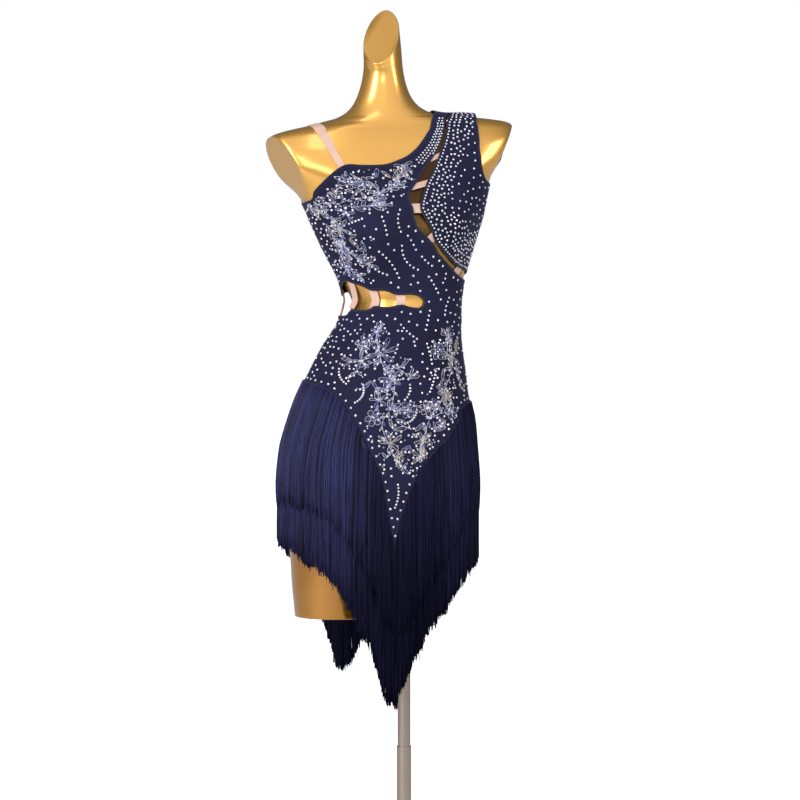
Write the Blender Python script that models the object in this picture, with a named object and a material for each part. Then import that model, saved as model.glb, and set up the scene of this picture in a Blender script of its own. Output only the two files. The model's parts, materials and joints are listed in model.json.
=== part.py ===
"""Asymmetric salsa dance dress with a two-layer fringe, on a limbless dress form with a telescopic stand.

Units are metres, +Z is up and the form faces -Y. The origin is the centre of the stand's base, on the floor.
Tables are in millimetres and degrees. Round the figure, angle 0 is the centre front, +90 its +X side and
180 the centre back. Rise is the path up the figure's side: it equals the height up to the shoulders' widest
point, then runs inwards along the top of the shoulder to the neck.
"""

import math
from collections import namedtuple

import bmesh
import bpy
from mathutils import Matrix, Vector
from mathutils.geometry import delaunay_2d_cdt

MM = 0.001

# --------------------------------------------------------------------------------------------- driving sizes
CLOTH_INSIDE = 2.0  # from the form to the inside of the cloth
CLOTH_OUTSIDE = 3.2  # stretch velvet with its turned edge is 1.2 thick
ELASTIC_INSIDE = 0.4  # the elastics are sewn on under the cloth's edges
ELASTIC_OUTSIDE = 1.4
SEAM_GAP = 0.4  # between pieces at a seam
CLOTH_GRID = 24.0  # triangle size of the panels
EDGE_STEP = 12.5  # along the panels' edges
SHOULDER_WIDEST = 1380.0  # rise where the path turns inwards
BUST = {"rise": 1216.0, "angle": 27.0, "depth": 17.0, "tall": 42.0, "wide": 19.0}
SEAT = {"rise": 872.0, "angle": 152.0, "depth": 9.0, "tall": 55.0, "wide": 22.0}

# One row for each level of the dress form. x, y and z are the ring's centre, roll lifts its +X side, pitch
# drops its front, square above 2 makes it boxier, and cleft parts it into two thighs.
Section = namedtuple(
    "Section",
    "rise z x y half_width front back roll square cleft pitch turn",
    defaults=(0, 2, 0, 0, 0),
)
FIGURE = [
    Section(568, 568, -61, -15, 131, 66, 69, 0, 2, 0.985),
    Section(600, 600, -61, -15, 134, 69, 72, 0, 2, 0.985),
    Section(658, 658, -56, -15, 143, 76, 80, 0, 2, 0.985),
    Section(726, 726, -52, -14, 150, 84, 91, 0, 2, 0.96),
    Section(794, 794, -48, -13, 153, 90, 104, 0, 2, 0.72),
    Section(845, 845, -46, -12, 153, 97, 112, -1, 2, 0.30),
    Section(896, 896, -40, -10, 149, 98, 110, -2, 2, 0.05),
    Section(956, 956, -33, -8, 137, 94, 98, -3, 2),
    Section(1015, 1015, -21, -5, 118, 86, 84, -2, 2),
    Section(1066, 1066, -4, -1, 99, 77, 78, 0, 2),
    Section(1095, 1095, 4, 0, 93, 75, 77, 1, 2),
    Section(1134, 1134, -2, 0, 105, 79, 80, 2, 2),
    Section(1185, 1185, -8, 0, 127, 88, 86, 3, 2),
    Section(1236, 1236, -11, 0, 147, 90, 90, 4, 2.1),
    Section(1270, 1270, -13, 2, 158, 86, 92, 5, 2.2),
    Section(1293, 1293, -15, 4, 167, 81, 91, 6, 2.5),
    Section(1335, 1335, -22, 8, 207, 70, 82, 5, 3.4),
    Section(1362, 1362, -21, 10, 219, 63, 75, 5, 3.6),
    Section(1380, 1380, -20, 12, 218, 57, 68, 5, 3.4),
    Section(1390, 1390, -20, 12, 209, 52, 62, 5, 2.9),
    Section(1415, 1397, -21, 12, 182, 49, 57, 5, 2.5),
    Section(1442, 1402, -22, 12, 151, 47, 54, 5, 2.2),
    Section(1491, 1409, -23, 12, 98, 45, 51, 3, 2.1),
    Section(1515, 1415, -26, 13, 76, 44, 49, 3, 2.1),
    Section(1538, 1427, -31, 13, 54, 42, 45, 2, 2),
    Section(1560, 1446, -32, 12, 45, 39, 40, 0, 2),
    Section(1590, 1473, -33, 11, 36, 34, 35, 0, 2, 0, 4, -8),
    Section(1612, 1495, -34, 9, 33, 36, 37, 0, 2, 0, 22, -20),
    Section(1636, 1521, -36, 8, 32, 45, 46, 0, 2, 0, 42, -28),
    Section(1660, 1547, -38, 8, 30, 60, 62, 0, 2, 0, 56, -30),
]
# Below the hip the cloth and the fringe hang straight down from the fullest ring of the figure.
SKIRT = [
    Section(380, 380, -48, -12, 167, 108, 125, 0, 2.4),
    Section(780, 780, -48, -12, 167, 108, 125, 0, 2.4),
    Section(845, 845, -47, -12, 163, 105, 121, 0, 2.35),
    Section(896, 896, -41, -10, 155, 102, 115, -1, 2.2),
]
HIP_RISE = 900.0  # above this the cloth follows the figure

# Taut cloth and elastics bridge the figure's hollows. Each row is one soft bridge.
Bridge = namedtuple("Bridge", "angle rise depth wide tall")
BRIDGES = [
    Bridge(-106, 1092, 15, 30, 34),  # the corners of the waist opening
    Bridge(-150, 1092, 5, 22, 34),
    Bridge(-30, 1098, 3.5, 40, 26),
    Bridge(0, 1222, 10.5, 18, 52),  # between the breasts
    Bridge(32, 1222, 7, 20, 62),  # the slit's two edges
    Bridge(90, 1470, 5.5, 60, 60),  # the top of the shoulder
]
# The skirt's yoke has soft drag lines towards the hip.
DRAG = {"depth": 1.3, "rise": 985.0, "tall": 60.0, "folds": 5.0}

# Pattern edges are marked as they stand in the fitting view: level, 3.5 m from the pole and 16 degrees round
# to the figure's right. Across is from the pole and up is from the floor.
VIEW = {"turn": -16.0, "distance": 3500.0, "height": 930.0, "aside": 6.8}
Seen = namedtuple("Seen", "across up")
Spot = namedtuple("Spot", "angle rise")  # a place on the figure

SIDE_SEAM = {"left": -108.0, "right": 92.0}

NECKLINE = [  # from the left armpit up to the right shoulder
    Seen(-160, 1268),
    Seen(-153, 1283),
    Seen(-138, 1299),
    Seen(-125, 1312),
    Seen(-108, 1325),
    Seen(-94, 1330),
    Seen(-73, 1329),
    Seen(-47, 1329),
    Seen(-27, 1331),
    Seen(-8, 1338),
    Seen(5, 1344),
    Seen(18, 1354),
    Seen(28, 1365),
]
SLIT_FRONT_EDGE = [  # from the right shoulder down to the right side
    Seen(60, 1367),
    Seen(50, 1346),
    Seen(36, 1325),
    Seen(20, 1300),
    Seen(10, 1284),
    Seen(9, 1271),
    Seen(15, 1255),
    Seen(17, 1238),
    Seen(25, 1221),
    Seen(39, 1206),
    Seen(51, 1192),
    Seen(60, 1177),
    Seen(78, 1157),
    Seen(95, 1139),
]
SLIT_SIDE_EDGE = [
    Seen(68, 1367),
    Seen(60, 1344),
    Seen(50, 1320),
    Seen(39, 1297),
    Seen(31, 1272),
    Seen(29, 1256),
    Seen(35, 1242),
    Seen(47, 1221),
    Seen(52, 1204),
    Seen(61, 1191),
    Seen(78, 1171),
    Seen(95, 1156),
]
ARMHOLE = [  # from the right shoulder down to the side
    Seen(125, 1394),
    Seen(127.5, 1373),
    Seen(129, 1351),
    Seen(132, 1328),
    Seen(137, 1309),
    Seen(143, 1300),
]
OPENING_UPPER_EDGE = [  # the waist opening's scalloped edges, from the left side to its closed end
    Seen(-101, 1132),
    Seen(-90, 1130),
    Seen(-72, 1124),
    Seen(-56, 1117),
    Seen(-31, 1116),
    Seen(-13, 1110),
    Seen(12, 1110),
    Seen(25, 1108),
    Seen(33, 1103),
    Seen(36, 1096),
]
OPENING_LOWER_EDGE = [
    Seen(33, 1090),
    Seen(26, 1086),
    Seen(12, 1087),
    Seen(-5, 1091),
    Seen(-28, 1087),
    Seen(-50, 1089),
    Seen(-62, 1083),
    Seen(-90, 1082),
    Seen(-100, 1073),
]
YOKE_LEFT_EDGE = [  # the fringed edge, from the left side to the tail's tip
    Seen(-151, 957),
    Seen(-129, 949),
    Seen(-107, 927),
    Seen(-90, 902),
    Seen(-73, 873),
    Seen(-60, 845),
    Seen(-46, 815),
    Seen(-37, 786),
    Seen(-32, 757),
    Seen(-25, 716),
]
YOKE_TIP = Seen(-16, 673)
YOKE_RIGHT_EDGE = [  # from the tip up to the right side
    Seen(-7, 718),
    Seen(2, 745),
    Seen(15, 783),
    Seen(34, 822),
    Seen(54, 846),
    Seen(78, 873),
    Seen(92, 898),
    Seen(102, 922),
]
SIDE_RISE = {  # where the edges cross the side seams
    "armpit": 1276.0,
    "opening_upper": 1116.0,
    "opening_lower": 1066.0,
    "yoke_left": 957.0,
    "yoke_right": 938.0,
    "slit_lower": 1126.0,
    "slit_upper": 1142.0,
    "armhole": 1279.0,
}
# Where the edges cross the shoulder, across from the pole: low is at the rise where they leave their marks.
Crossing = namedtuple("Crossing", "low top")
CROSSINGS = {
    "neck": Crossing(35.5, 51.0),
    "band": Crossing(56.5, 76.0),
    "panel": Crossing(62.5, 80.0),
    "arm": Crossing(116.0, 123.0),
    "elastic": Crossing(-154.0, -159.0),
}
CROSSING_START = 1386.0
BACK_SLIT_END = Spot(116, 1143)
BACK_OPENING_END = Spot(-152, 1093)
BACK_YOKE_TIP = -166.0  # its angle
BACK_FALL = 0.9  # the back yoke's fall against the front's

Elastic = namedtuple("Elastic", "name across up lean reach width")
SLIT_ELASTICS = [  # lean is the elastic's slope in degrees, reach is half its length
    Elastic("slit_elastic_1", 54, 1344, 24, 11, 9),
    Elastic("slit_elastic_2", 29, 1297, 12, 18, 11),
    Elastic("slit_elastic_3", 21, 1257, -4, 14, 15),
    Elastic("slit_elastic_4", 46, 1203, 42, 15, 14),
    Elastic("slit_elastic_5", 93, 1149, 50, 14, 18),
]
WAIST_ELASTICS = [
    Elastic("waist_elastic_1", -86, 1107, 78, 31, 12),
    Elastic("waist_elastic_2", -50, 1102, 88, 20, 14),
    Elastic("waist_elastic_3", -5, 1099, 89, 16, 15),
]
BACK_ELASTIC = {"angle": -109.0, "low": 1058.0, "high": 1124.0, "width": 12.0}
SHOULDER_GAP = 1.2  # degrees between front and back at the top of the shoulder
SIDE_GAP = 0.35  # and at the side seams
ARM_ELASTIC = {"from": -98.0, "to": -124.0, "rise": 1277.0, "width": 12.0}
SHOULDER_ELASTIC = {"width": 13.5, "back_end": Spot(-150, 1316)}
SHOULDER_ELASTIC_PATH = [
    Seen(-99, 1319),
    Seen(-106, 1330),
    Seen(-114, 1342),
    Seen(-121, 1355),
    Seen(-128.5, 1369.5),
    Seen(-138.5, 1383.5),
]

# ------------------------------------------------------------------------------------------------ the fringe
# Tape is the sewn strip's height and pitch is from lock to lock; side and parted are gaps to the neighbours.
FRINGE = {"tape": 6.0, "pitch": 10.9, "gap": 1.7, "side": 2.2, "parted": 0.6, "point": 0.32}
LOCK_KNEES = (890.0, 822.0)  # rises where a lock turns over the hip
TipTurn = namedtuple("TipTurn", "high_aside high_down low_aside low_down")
TIP_TURNS = [TipTurn(0.9, 1.0, 4.7, 8.0), TipTurn(0.5, 2.5, 0.6, 9.0)]  # the tape's turn under a yoke's tip
Layer = namedtuple("Layer", "name inside outside shift knee_below")  # shift is a part of the pitch
LAYERS = [Layer("under", 0.9, 2.5, 0.5, 26.0), Layer("over", 3.8, 5.4, 0.0, 10.0)]
# Lower ends of the two layers, by angle: at the front and, further round, at the back.
Hem = namedtuple("Hem", "angle under over")
HEMS = [
    Hem(-166, 468, 566),
    Hem(-160, 530, 620),
    Hem(-154, 574, 655),
    Hem(-146, 620, 690),
    Hem(-130, 670, 734),
    Hem(-108, 705, 764),
    Hem(-92, 692, 763),
    Hem(-70, 684, 761),
    Hem(-50, 661, 752),
    Hem(-34, 625, 722),
    Hem(-24, 575, 684),
    Hem(-15, 517, 630),
    Hem(-8, 449, 577),
    Hem(-3, 428, 556),
    Hem(0, 438, 550),
    Hem(9, 489, 572),
    Hem(18, 547, 614),
    Hem(32, 594, 678),
    Hem(54, 653, 742),
    Hem(72, 668, 756),
    Hem(92, 668, 752),
    Hem(112, 640, 735),
    Hem(140, 590, 690),
    Hem(165, 546, 648),
    Hem(174, 524, 628),
    Hem(180, 502, 608),
    Hem(184, 474, 592),
    Hem(190, 464, 576),
    Hem(194, 468, 566),
]
HEM_WAVE = {"depth": 7.0, "angle": 7.3}

# ------------------------------------------------------------------------------------------------- the stand
TUBE = {"upper_radius": 11.0, "lower_radius": 12.5, "bore_radius": 11.4, "wall": 1.5, "sides": 28}
UPPER_TUBE = {"low": 115.0, "high": 612.0}
LOWER_TUBE_TOP = 342.0
SOCKET_RADIUS = 11.5
BASE = {"radius": 175.0, "thick": 8.0, "edge": 2.0, "sides": 44}
BOSS = {"radius": 24.0, "top": 24.0}
# The arm sockets are closed by flat faces. Each passes through x and z at the pole's depth, and its x goes by
# this much for each millimetre of height and of depth.
ArmFace = namedtuple("ArmFace", "name x z by_height by_depth")
ARM_FACES = [
    ArmFace("left_arm_cutter", -176, 1268, -0.534, -0.12),
    ArmFace("right_arm_cutter", 154, 1309, 0.418, 0.18),
]
ARM_CUT = {"tall": 170.0, "deep": 160.0, "wide": 90.0}
CROTCH = {"x": -57.0, "half_gap": 6.0, "top": 742.0, "arch": 18.0, "deep": 180.0}
BELOW_FORM = 540.0  # where the form's cutters start
FORM_RINGS = {"sides": 42}
RingStep = namedtuple("RingStep", "above step")  # the form's rings are closer together where it turns
RING_STEPS = [
    RingStep(0, 30.0),
    RingStep(1030, 16.0),
    RingStep(1170, 30.0),
    RingStep(1240, 16.0),
    RingStep(1370, 12.0),
    RingStep(1540, 20.0),
]


# ------------------------------------------------------------------------------------------- smooth tables
def table_slopes(xs, ys):
    """Slopes at each row for a curve through the rows that never overshoots them."""
    steps = [(y1 - y0) / (x1 - x0) for x0, x1, y0, y1 in zip(xs, xs[1:], ys, ys[1:])]
    inner = [2 * a * b / (a + b) if a * b > 0 else 0.0 for a, b in zip(steps, steps[1:])]
    return [steps[0], *inner, steps[-1]]


class Table:
    """Rows of numbers read as smooth curves of their first column."""

    def __init__(self, rows):
        self.kind = type(rows[0])
        self.keys = [row[0] for row in rows]
        self.columns = list(zip(*rows))
        self.slopes = [table_slopes(self.keys, column) for column in self.columns]

    def at(self, key):
        key = min(max(key, self.keys[0]), self.keys[-1])
        i = max(n for n, k in enumerate(self.keys[:-1]) if k <= key)
        span = self.keys[i + 1] - self.keys[i]
        t = (key - self.keys[i]) / span
        rise, hold = t * t * (3 - 2 * t), t * (1 - t)
        values = []
        for column, slope in zip(self.columns, self.slopes):
            ends = column[i] * (1 - rise) + column[i + 1] * rise
            bend = span * hold * ((1 - t) * slope[i] - t * slope[i + 1])
            values.append(ends + bend)
        return self.kind(*values)


FIGURE_TABLE = Table(FIGURE)
CLOTH_TABLE = Table(SKIRT + [row for row in FIGURE if row.rise > HIP_RISE])
HEM_TABLE = Table(HEMS)


# ----------------------------------------------------------------------------------------------- the surface
def wrap(angle):
    """The same angle between -180 and 180."""
    return (angle + 180.0) % 360.0 - 180.0


def bell(value, centre, width):
    return math.exp(-(((value - centre) / width) ** 2))


def swell(shape, angle, rise):
    """How far a pair of soft mounds, one each side of the figure, stands out."""
    sides = bell(abs(wrap(angle)), shape["angle"], shape["wide"])
    return shape["depth"] * sides * bell(rise, shape["rise"], shape["tall"])


def ring_point(section, angle, out_y=0.0):
    """A point of one ring."""
    turn = math.radians(angle)
    s, c = math.sin(turn), math.cos(turn)
    boxy = (abs(s) ** section.square + abs(c) ** section.square) ** (-1 / section.square)
    k = section.cleft
    parted = (k * abs(s) + math.sqrt(max(0.0, 1 - (k * c) ** 2))) / (1 + k)
    depth = section.front if c > 0 else section.back
    flat = Vector((section.half_width * boxy * parted * s, -depth * (1 + k) * boxy * parted * c, 0))
    flat.y -= out_y * (1 if c > 0 else -1)
    tilt = (
        Matrix.Rotation(math.radians(section.turn), 3, "Z")
        @ Matrix.Rotation(math.radians(-section.roll), 3, "Y")
        @ Matrix.Rotation(math.radians(section.pitch), 3, "X")
    )
    return Vector((section.x, section.y, section.z)) + tilt @ flat


def figure_point(angle, rise):
    out_y = swell(BUST, angle, rise) + swell(SEAT, angle, rise)
    return ring_point(FIGURE_TABLE.at(rise), angle, out_y)


def worn_point(angle, rise):
    """The figure as the cloth meets it: below the hip it falls straight down."""
    out_y = swell(BUST, angle, rise) + swell(SEAT, angle, max(rise, SEAT["rise"]))
    return ring_point(CLOTH_TABLE.at(rise), angle, out_y)


def stand_off(angle, rise):
    """How far the taut cloth bridges a hollow, and how far it drags."""
    total = sum(
        row.depth * bell(wrap(angle - row.angle), 0, row.wide) * bell(rise, row.rise, row.tall)
        for row in BRIDGES
    )
    wave = 0.5 + 0.5 * math.sin(math.radians(DRAG["folds"] * angle) + rise / 17.0)
    return total + DRAG["depth"] * wave * bell(rise, DRAG["rise"], DRAG["tall"])


def worn_normal(angle, rise):
    along = worn_point(angle + 0.6, rise) - worn_point(angle - 0.6, rise)
    up = worn_point(angle, rise + 2) - worn_point(angle, rise - 2)
    return along.cross(up).normalized()


def cloth_point(angle, rise, out):
    """A point this far out from the figure's surface, on the cloth's own form."""
    lift = out + stand_off(angle, rise)
    return worn_point(angle, rise) + worn_normal(angle, rise) * lift


def steps_at(angle, rise):
    """Millimetres for one degree, and for one of rise."""
    along = (worn_point(angle + 0.5, rise) - worn_point(angle - 0.5, rise)).length
    up = (worn_point(angle, rise + 1) - worn_point(angle, rise - 1)).length / 2
    return max(along, 0.2), max(up, 0.1)


# ------------------------------------------------------------------------------------------ the fitting view
def seen(angle, rise):
    point = cloth_point(angle, rise, CLOTH_OUTSIDE)
    turn = math.radians(VIEW["turn"])
    across = point.x * math.cos(turn) + point.y * math.sin(turn)
    deep = -point.x * math.sin(turn) + point.y * math.cos(turn)
    shrink = VIEW["distance"] / (VIEW["distance"] + deep)
    return Vector(
        (
            (across + VIEW["aside"]) * shrink - VIEW["aside"],
            (point.z - VIEW["height"]) * shrink + VIEW["height"],
        )
    )


FIRST_GUESSES = [
    (seen(angle, rise), angle, rise)
    for angle in range(-104, 76, 6)
    for rise in range(600, 1540, 15)
]


def spot_of(mark):
    """The place on the figure that shows at this mark of the fitting view."""
    if isinstance(mark, Spot):
        return mark
    aim = Vector(mark)
    _, angle, rise = min(FIRST_GUESSES, key=lambda guess: (guess[0] - aim).length)
    for _ in range(14):
        here = seen(angle, rise)
        by_angle = (seen(angle + 0.5, rise) - here) / 0.5
        by_rise = seen(angle, rise + 1) - here
        size = by_angle.x * by_rise.y - by_angle.y * by_rise.x
        miss = aim - here
        if abs(size) < 1e-3:
            break
        angle += 0.7 * (miss.x * by_rise.y - miss.y * by_rise.x) / size
        rise += 0.7 * (by_angle.x * miss.y - by_angle.y * miss.x) / size
        angle = min(max(angle, -112.0), 80.0)
    return Spot(angle, rise)


def curve(marks, step=EDGE_STEP):
    """Spots at even steps along a smooth curve through the marks."""
    spots = [Vector(spot_of(mark)) for mark in marks]
    spots = [2 * spots[0] - spots[1], *spots, 2 * spots[-1] - spots[-2]]
    dense = []
    for p0, p1, p2, p3 in zip(spots, spots[1:], spots[2:], spots[3:]):
        for n in range(12):
            t = n / 12
            dense.append(
                0.5
                * (
                    2 * p1
                    + (p2 - p0) * t
                    + (2 * p0 - 5 * p1 + 4 * p2 - p3) * t * t
                    + (3 * p1 - p0 - 3 * p2 + p3) * t**3
                )
            )
    dense.append(spots[-2])
    return even(dense, step)


def over_shoulder(name):
    """Spots up to the top of the shoulder, at a steadily changing distance from the pole."""
    crossing = CROSSINGS[name]
    sign = 1 if crossing.top > 0 else -1
    low, high = SHOULDER_WIDEST, 1540.0
    for _ in range(40):
        top = (low + high) / 2
        if sign * worn_point(90.0 * sign, top).x > sign * crossing.top:
            low = top
        else:
            high = top
    spots = []
    for n in range(9):
        part = math.sin(math.radians(90 * n / 9))
        rise = CROSSING_START + (top - CROSSING_START) * part
        aim = crossing.low + (crossing.top - crossing.low) * part
        near, far = 0.0, 90.0
        for _ in range(40):
            angle = (near + far) / 2
            if sign * worn_point(angle * sign, rise).x < sign * aim:
                near = angle
            else:
                far = angle
        spots.append(Spot(angle * sign, rise))
    return [*spots, Spot(90.0 * sign, top)]


def behind(spots):
    """The same spots carried straight over to the back."""
    return [Spot((180 if spot.angle > 0 else -180) - spot.angle, spot.rise) for spot in spots]


def even(dense, step):
    lengths = [0.0]
    places = [cloth_point(spot[0], spot[1], CLOTH_OUTSIDE) for spot in dense]
    for a, b in zip(places, places[1:]):
        lengths.append(lengths[-1] + (b - a).length)
    count = max(1, round(lengths[-1] / step))
    result = []
    i = 0
    for n in range(count + 1):
        want = lengths[-1] * n / count
        while i < len(lengths) - 2 and lengths[i + 1] < want:
            i += 1
        t = (want - lengths[i]) / max(lengths[i + 1] - lengths[i], 1e-9)
        here = dense[i].lerp(dense[i + 1], min(max(t, 0.0), 1.0))
        result.append(Spot(here.x, here.y))
    return result


# ---------------------------------------------------------------------------------------------------- meshes
def material(name, colour, metallic, roughness):
    made = bpy.data.materials.new(name)
    made.use_nodes = True
    shader = made.node_tree.nodes["Principled BSDF"]
    shader.inputs["Base Color"].default_value = (*colour, 1)
    shader.inputs["Metallic"].default_value = metallic
    shader.inputs["Roughness"].default_value = roughness
    return made


LOOKS = {
    "velvet": ((0.020, 0.018, 0.110), 0.0, 0.85),
    "fringe": ((0.028, 0.024, 0.150), 0.0, 0.60),
    "elastic": ((0.860, 0.600, 0.480), 0.0, 0.70),
    "gold": ((0.720, 0.440, 0.120), 0.25, 0.22),
    "steel": ((0.560, 0.560, 0.570), 1.0, 0.32),
    "paint": ((0.600, 0.600, 0.610), 0.9, 0.40),
}


def add(name, points, faces, look):
    mesh = bpy.data.meshes.new(name)
    mesh.from_pydata([Vector(point) * MM for point in points], [], faces)
    mesh.update()
    work = bmesh.new()
    work.from_mesh(mesh)
    bmesh.ops.recalc_face_normals(work, faces=work.faces)
    if work.calc_volume(signed=True) < 0:
        bmesh.ops.reverse_faces(work, faces=work.faces)
    work.to_mesh(mesh)
    work.free()
    mesh.shade_smooth()
    mesh.set_sharp_from_angle(angle=math.radians(35))
    piece = bpy.data.objects.new(name, mesh)
    bpy.context.scene.collection.objects.link(piece)
    mesh.materials.append(material(name, *LOOKS[look]))
    return piece


def inside(point, loop):
    """Whether the point is inside the loop."""
    found = False
    for a, b in zip(loop, loop[1:] + loop[:1]):
        if (a.y > point.y) != (b.y > point.y):
            cross = a.x + (point.y - a.y) * (b.x - a.x) / (b.y - a.y)
            if point.x < cross:
                found = not found
    return found


def nearness(point, loop):
    """How near the point is to the loop."""
    best = 1e9
    for a, b in zip(loop, loop[1:] + loop[:1]):
        side = b - a
        t = min(max((point - a).dot(side) / max(side.length_squared, 1e-9), 0.0), 1.0)
        best = min(best, (a + side * t - point).length)
    return best


FLAT_DEGREE = 2.4  # a panel is meshed in a flat chart: this many millimetres to one degree
CLOSER_ABOVE = 1300.0  # its triangles are smaller above this rise


def panel(name, loop, look="velvet"):
    """A cloth panel inside a loop of spots."""
    flat = [Vector((spot.angle * FLAT_DEGREE, spot.rise)) for spot in loop]
    corners = list(flat)
    low_x, high_x = min(p.x for p in flat), max(p.x for p in flat)
    y, high_y = min(p.y for p in flat), max(p.y for p in flat)
    row = 0
    while y < high_y:
        gap = CLOTH_GRID if y < CLOSER_ABOVE else CLOTH_GRID * 0.6
        x = low_x + (gap * 0.5 if row % 2 else 0.0)
        while x < high_x:
            point = Vector((x, y))
            if inside(point, flat) and nearness(point, flat) > 0.5 * gap:
                corners.append(point)
            x += gap
        y += gap * 0.87
        row += 1
    edges = [(n, (n + 1) % len(flat)) for n in range(len(flat))]
    placed, _, triangles, *_ = delaunay_2d_cdt(corners, edges, [], 1, 1e-4)
    spots = [(p.x / FLAT_DEGREE, p.y) for p in placed]
    inner = [cloth_point(a, r, CLOTH_INSIDE) for a, r in spots]
    outer = [cloth_point(a, r, CLOTH_OUTSIDE) for a, r in spots]
    count = len(placed)
    faces = [tuple(t) for t in triangles]
    used = {}
    for a, b, c in faces:
        for edge in ((a, b), (b, c), (c, a)):
            used[edge] = True
    rim = [edge for edge in used if (edge[1], edge[0]) not in used]
    shell = [tuple(n + count for n in t) for t in faces]
    shell += [tuple(reversed(t)) for t in faces]
    shell += [(b, a, a + count, b + count) for a, b in rim]
    return add(name, inner + outer, shell, look)


def band(name, path, width, inside_out, look="elastic"):
    """A strip of elastic along a path of spots, shaped to the figure across its width."""
    inner, outer = inside_out
    columns = (-0.5, -0.17, 0.17, 0.5)
    points = []
    for n, spot in enumerate(path):
        before, after = path[max(n - 1, 0)], path[min(n + 1, len(path) - 1)]
        wide, tall = steps_at(*spot)
        ahead = Vector(((after[0] - before[0]) * wide, (after[1] - before[1]) * tall))
        aside = Vector((-ahead.y, ahead.x)).normalized() * width
        for out in (inner, outer):
            for t in columns:
                angle = spot[0] + aside.x * t / wide
                points.append(cloth_point(angle, spot[1] + aside.y * t / tall, out))
    span = len(columns)
    size = 2 * span
    round_edge = [*range(span), *reversed(range(span, size))]
    faces = [tuple(round_edge), tuple((len(path) - 1) * size + n for n in reversed(round_edge))]
    for row in range(len(path) - 1):
        base = row * size
        for a, b in zip(round_edge, round_edge[1:] + round_edge[:1]):
            faces.append((base + a, base + b, base + size + b, base + size + a))
    return add(name, points, faces, look)


def lathe(name, profile, sides, look, centre=(0.0, 0.0)):
    """A turned piece. The profile runs round its closed section as (radius, z)."""
    points = []
    rings = []
    for radius, z in profile:
        if radius < 1e-6:
            rings.append([len(points)] * sides)
            points.append(Vector((centre[0], centre[1], z)))
            continue
        rings.append(list(range(len(points), len(points) + sides)))
        for n in range(sides):
            turn = 2 * math.pi * n / sides
            points.append(
                Vector((centre[0] + radius * math.cos(turn), centre[1] + radius * math.sin(turn), z))
            )
    faces = []
    for ring, above in zip(rings, rings[1:] + rings[:1]):
        for n in range(sides):
            m = (n + 1) % sides
            corner = list(dict.fromkeys((ring[n], ring[m], above[m], above[n])))
            if len(corner) > 2:
                faces.append(tuple(corner))
    return add(name, points, faces, look)


def cutter(name, points, faces):
    made = add(name, points, faces, "steel")
    made.hide_render = True
    made.display_type = "WIRE"
    return made


def cut(piece, tool):
    step = piece.modifiers.new(tool.name, "BOOLEAN")
    step.operation = "DIFFERENCE"
    step.solver = "EXACT"
    step.object = tool


# ---------------------------------------------------------------------------------------------------- pieces
def form_levels():
    """Rises of the form's rings."""
    levels = [FIGURE[0].rise]
    while levels[-1] < FIGURE[-1].rise:
        step = [row.step for row in RING_STEPS if row.above < levels[-1]][-1]
        levels.append(min(levels[-1] + step, FIGURE[-1].rise))
    if levels[-1] - levels[-2] < RING_STEPS[-1].step / 3:
        del levels[-2]
    return levels


def build_form():
    sides = FORM_RINGS["sides"]
    levels = form_levels()
    points = []
    for rise in levels:
        points += [figure_point(360.0 * n / sides - 180.0, rise) for n in range(sides)]
    faces = [tuple(reversed(range(sides)))]
    faces.append(tuple((len(levels) - 1) * sides + n for n in range(sides)))
    for row in range(len(levels) - 1):
        for n in range(sides):
            m = (n + 1) % sides
            a, b = row * sides + n, row * sides + m
            faces.append((a, b, b + sides, a + sides))
    form = add("form", points, faces, "gold")
    gap, top, x = CROTCH["half_gap"], CROTCH["top"], CROTCH["x"]
    profile = [(x - gap, BELOW_FORM), (x + gap, BELOW_FORM)]
    profile += [
        (x + gap * math.cos(math.radians(a)), top + CROTCH["arch"] * math.sin(math.radians(a)))
        for a in range(0, 181, 20)
    ]
    count = len(profile)
    deep = CROTCH["deep"]
    slot = [Vector((px, y, pz)) for y in (-deep, deep) for px, pz in profile]
    sides_of_slot = [tuple(range(count)), tuple(reversed(range(count, 2 * count)))]
    for n in range(count):
        m = (n + 1) % count
        sides_of_slot.append((n, n + count, m + count, m))
    cut(form, cutter("crotch_cutter", slot, sides_of_slot))
    top = UPPER_TUBE["high"] + SEAM_GAP
    socket = lathe(
        "socket_cutter",
        [(0, BELOW_FORM), (SOCKET_RADIUS, BELOW_FORM), (SOCKET_RADIUS, top), (0, top)],
        TUBE["sides"],
        "steel",
    )
    socket.hide_render = True
    socket.display_type = "WIRE"
    cut(form, socket)
    for row in ARM_FACES:
        cut(form, arm_cutter(row))
    return form


def arm_cutter(row):
    """A block outside the flat face of one arm socket."""
    side = 1 if row.x > 0 else -1
    points = []
    for out in (0.0, side * ARM_CUT["wide"]):
        for y, up in ((-1, 0), (1, 0), (1, 1), (-1, 1)):
            depth, height = y * ARM_CUT["deep"], up * ARM_CUT["tall"]
            x = row.x + row.by_height * height + row.by_depth * depth + out
            points.append(Vector((x, depth, row.z + height)))
    faces = [(0, 1, 2, 3), (7, 6, 5, 4), (0, 4, 5, 1), (1, 5, 6, 2), (2, 6, 7, 3), (3, 7, 4, 0)]
    return cutter(row.name, points, faces)


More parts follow.
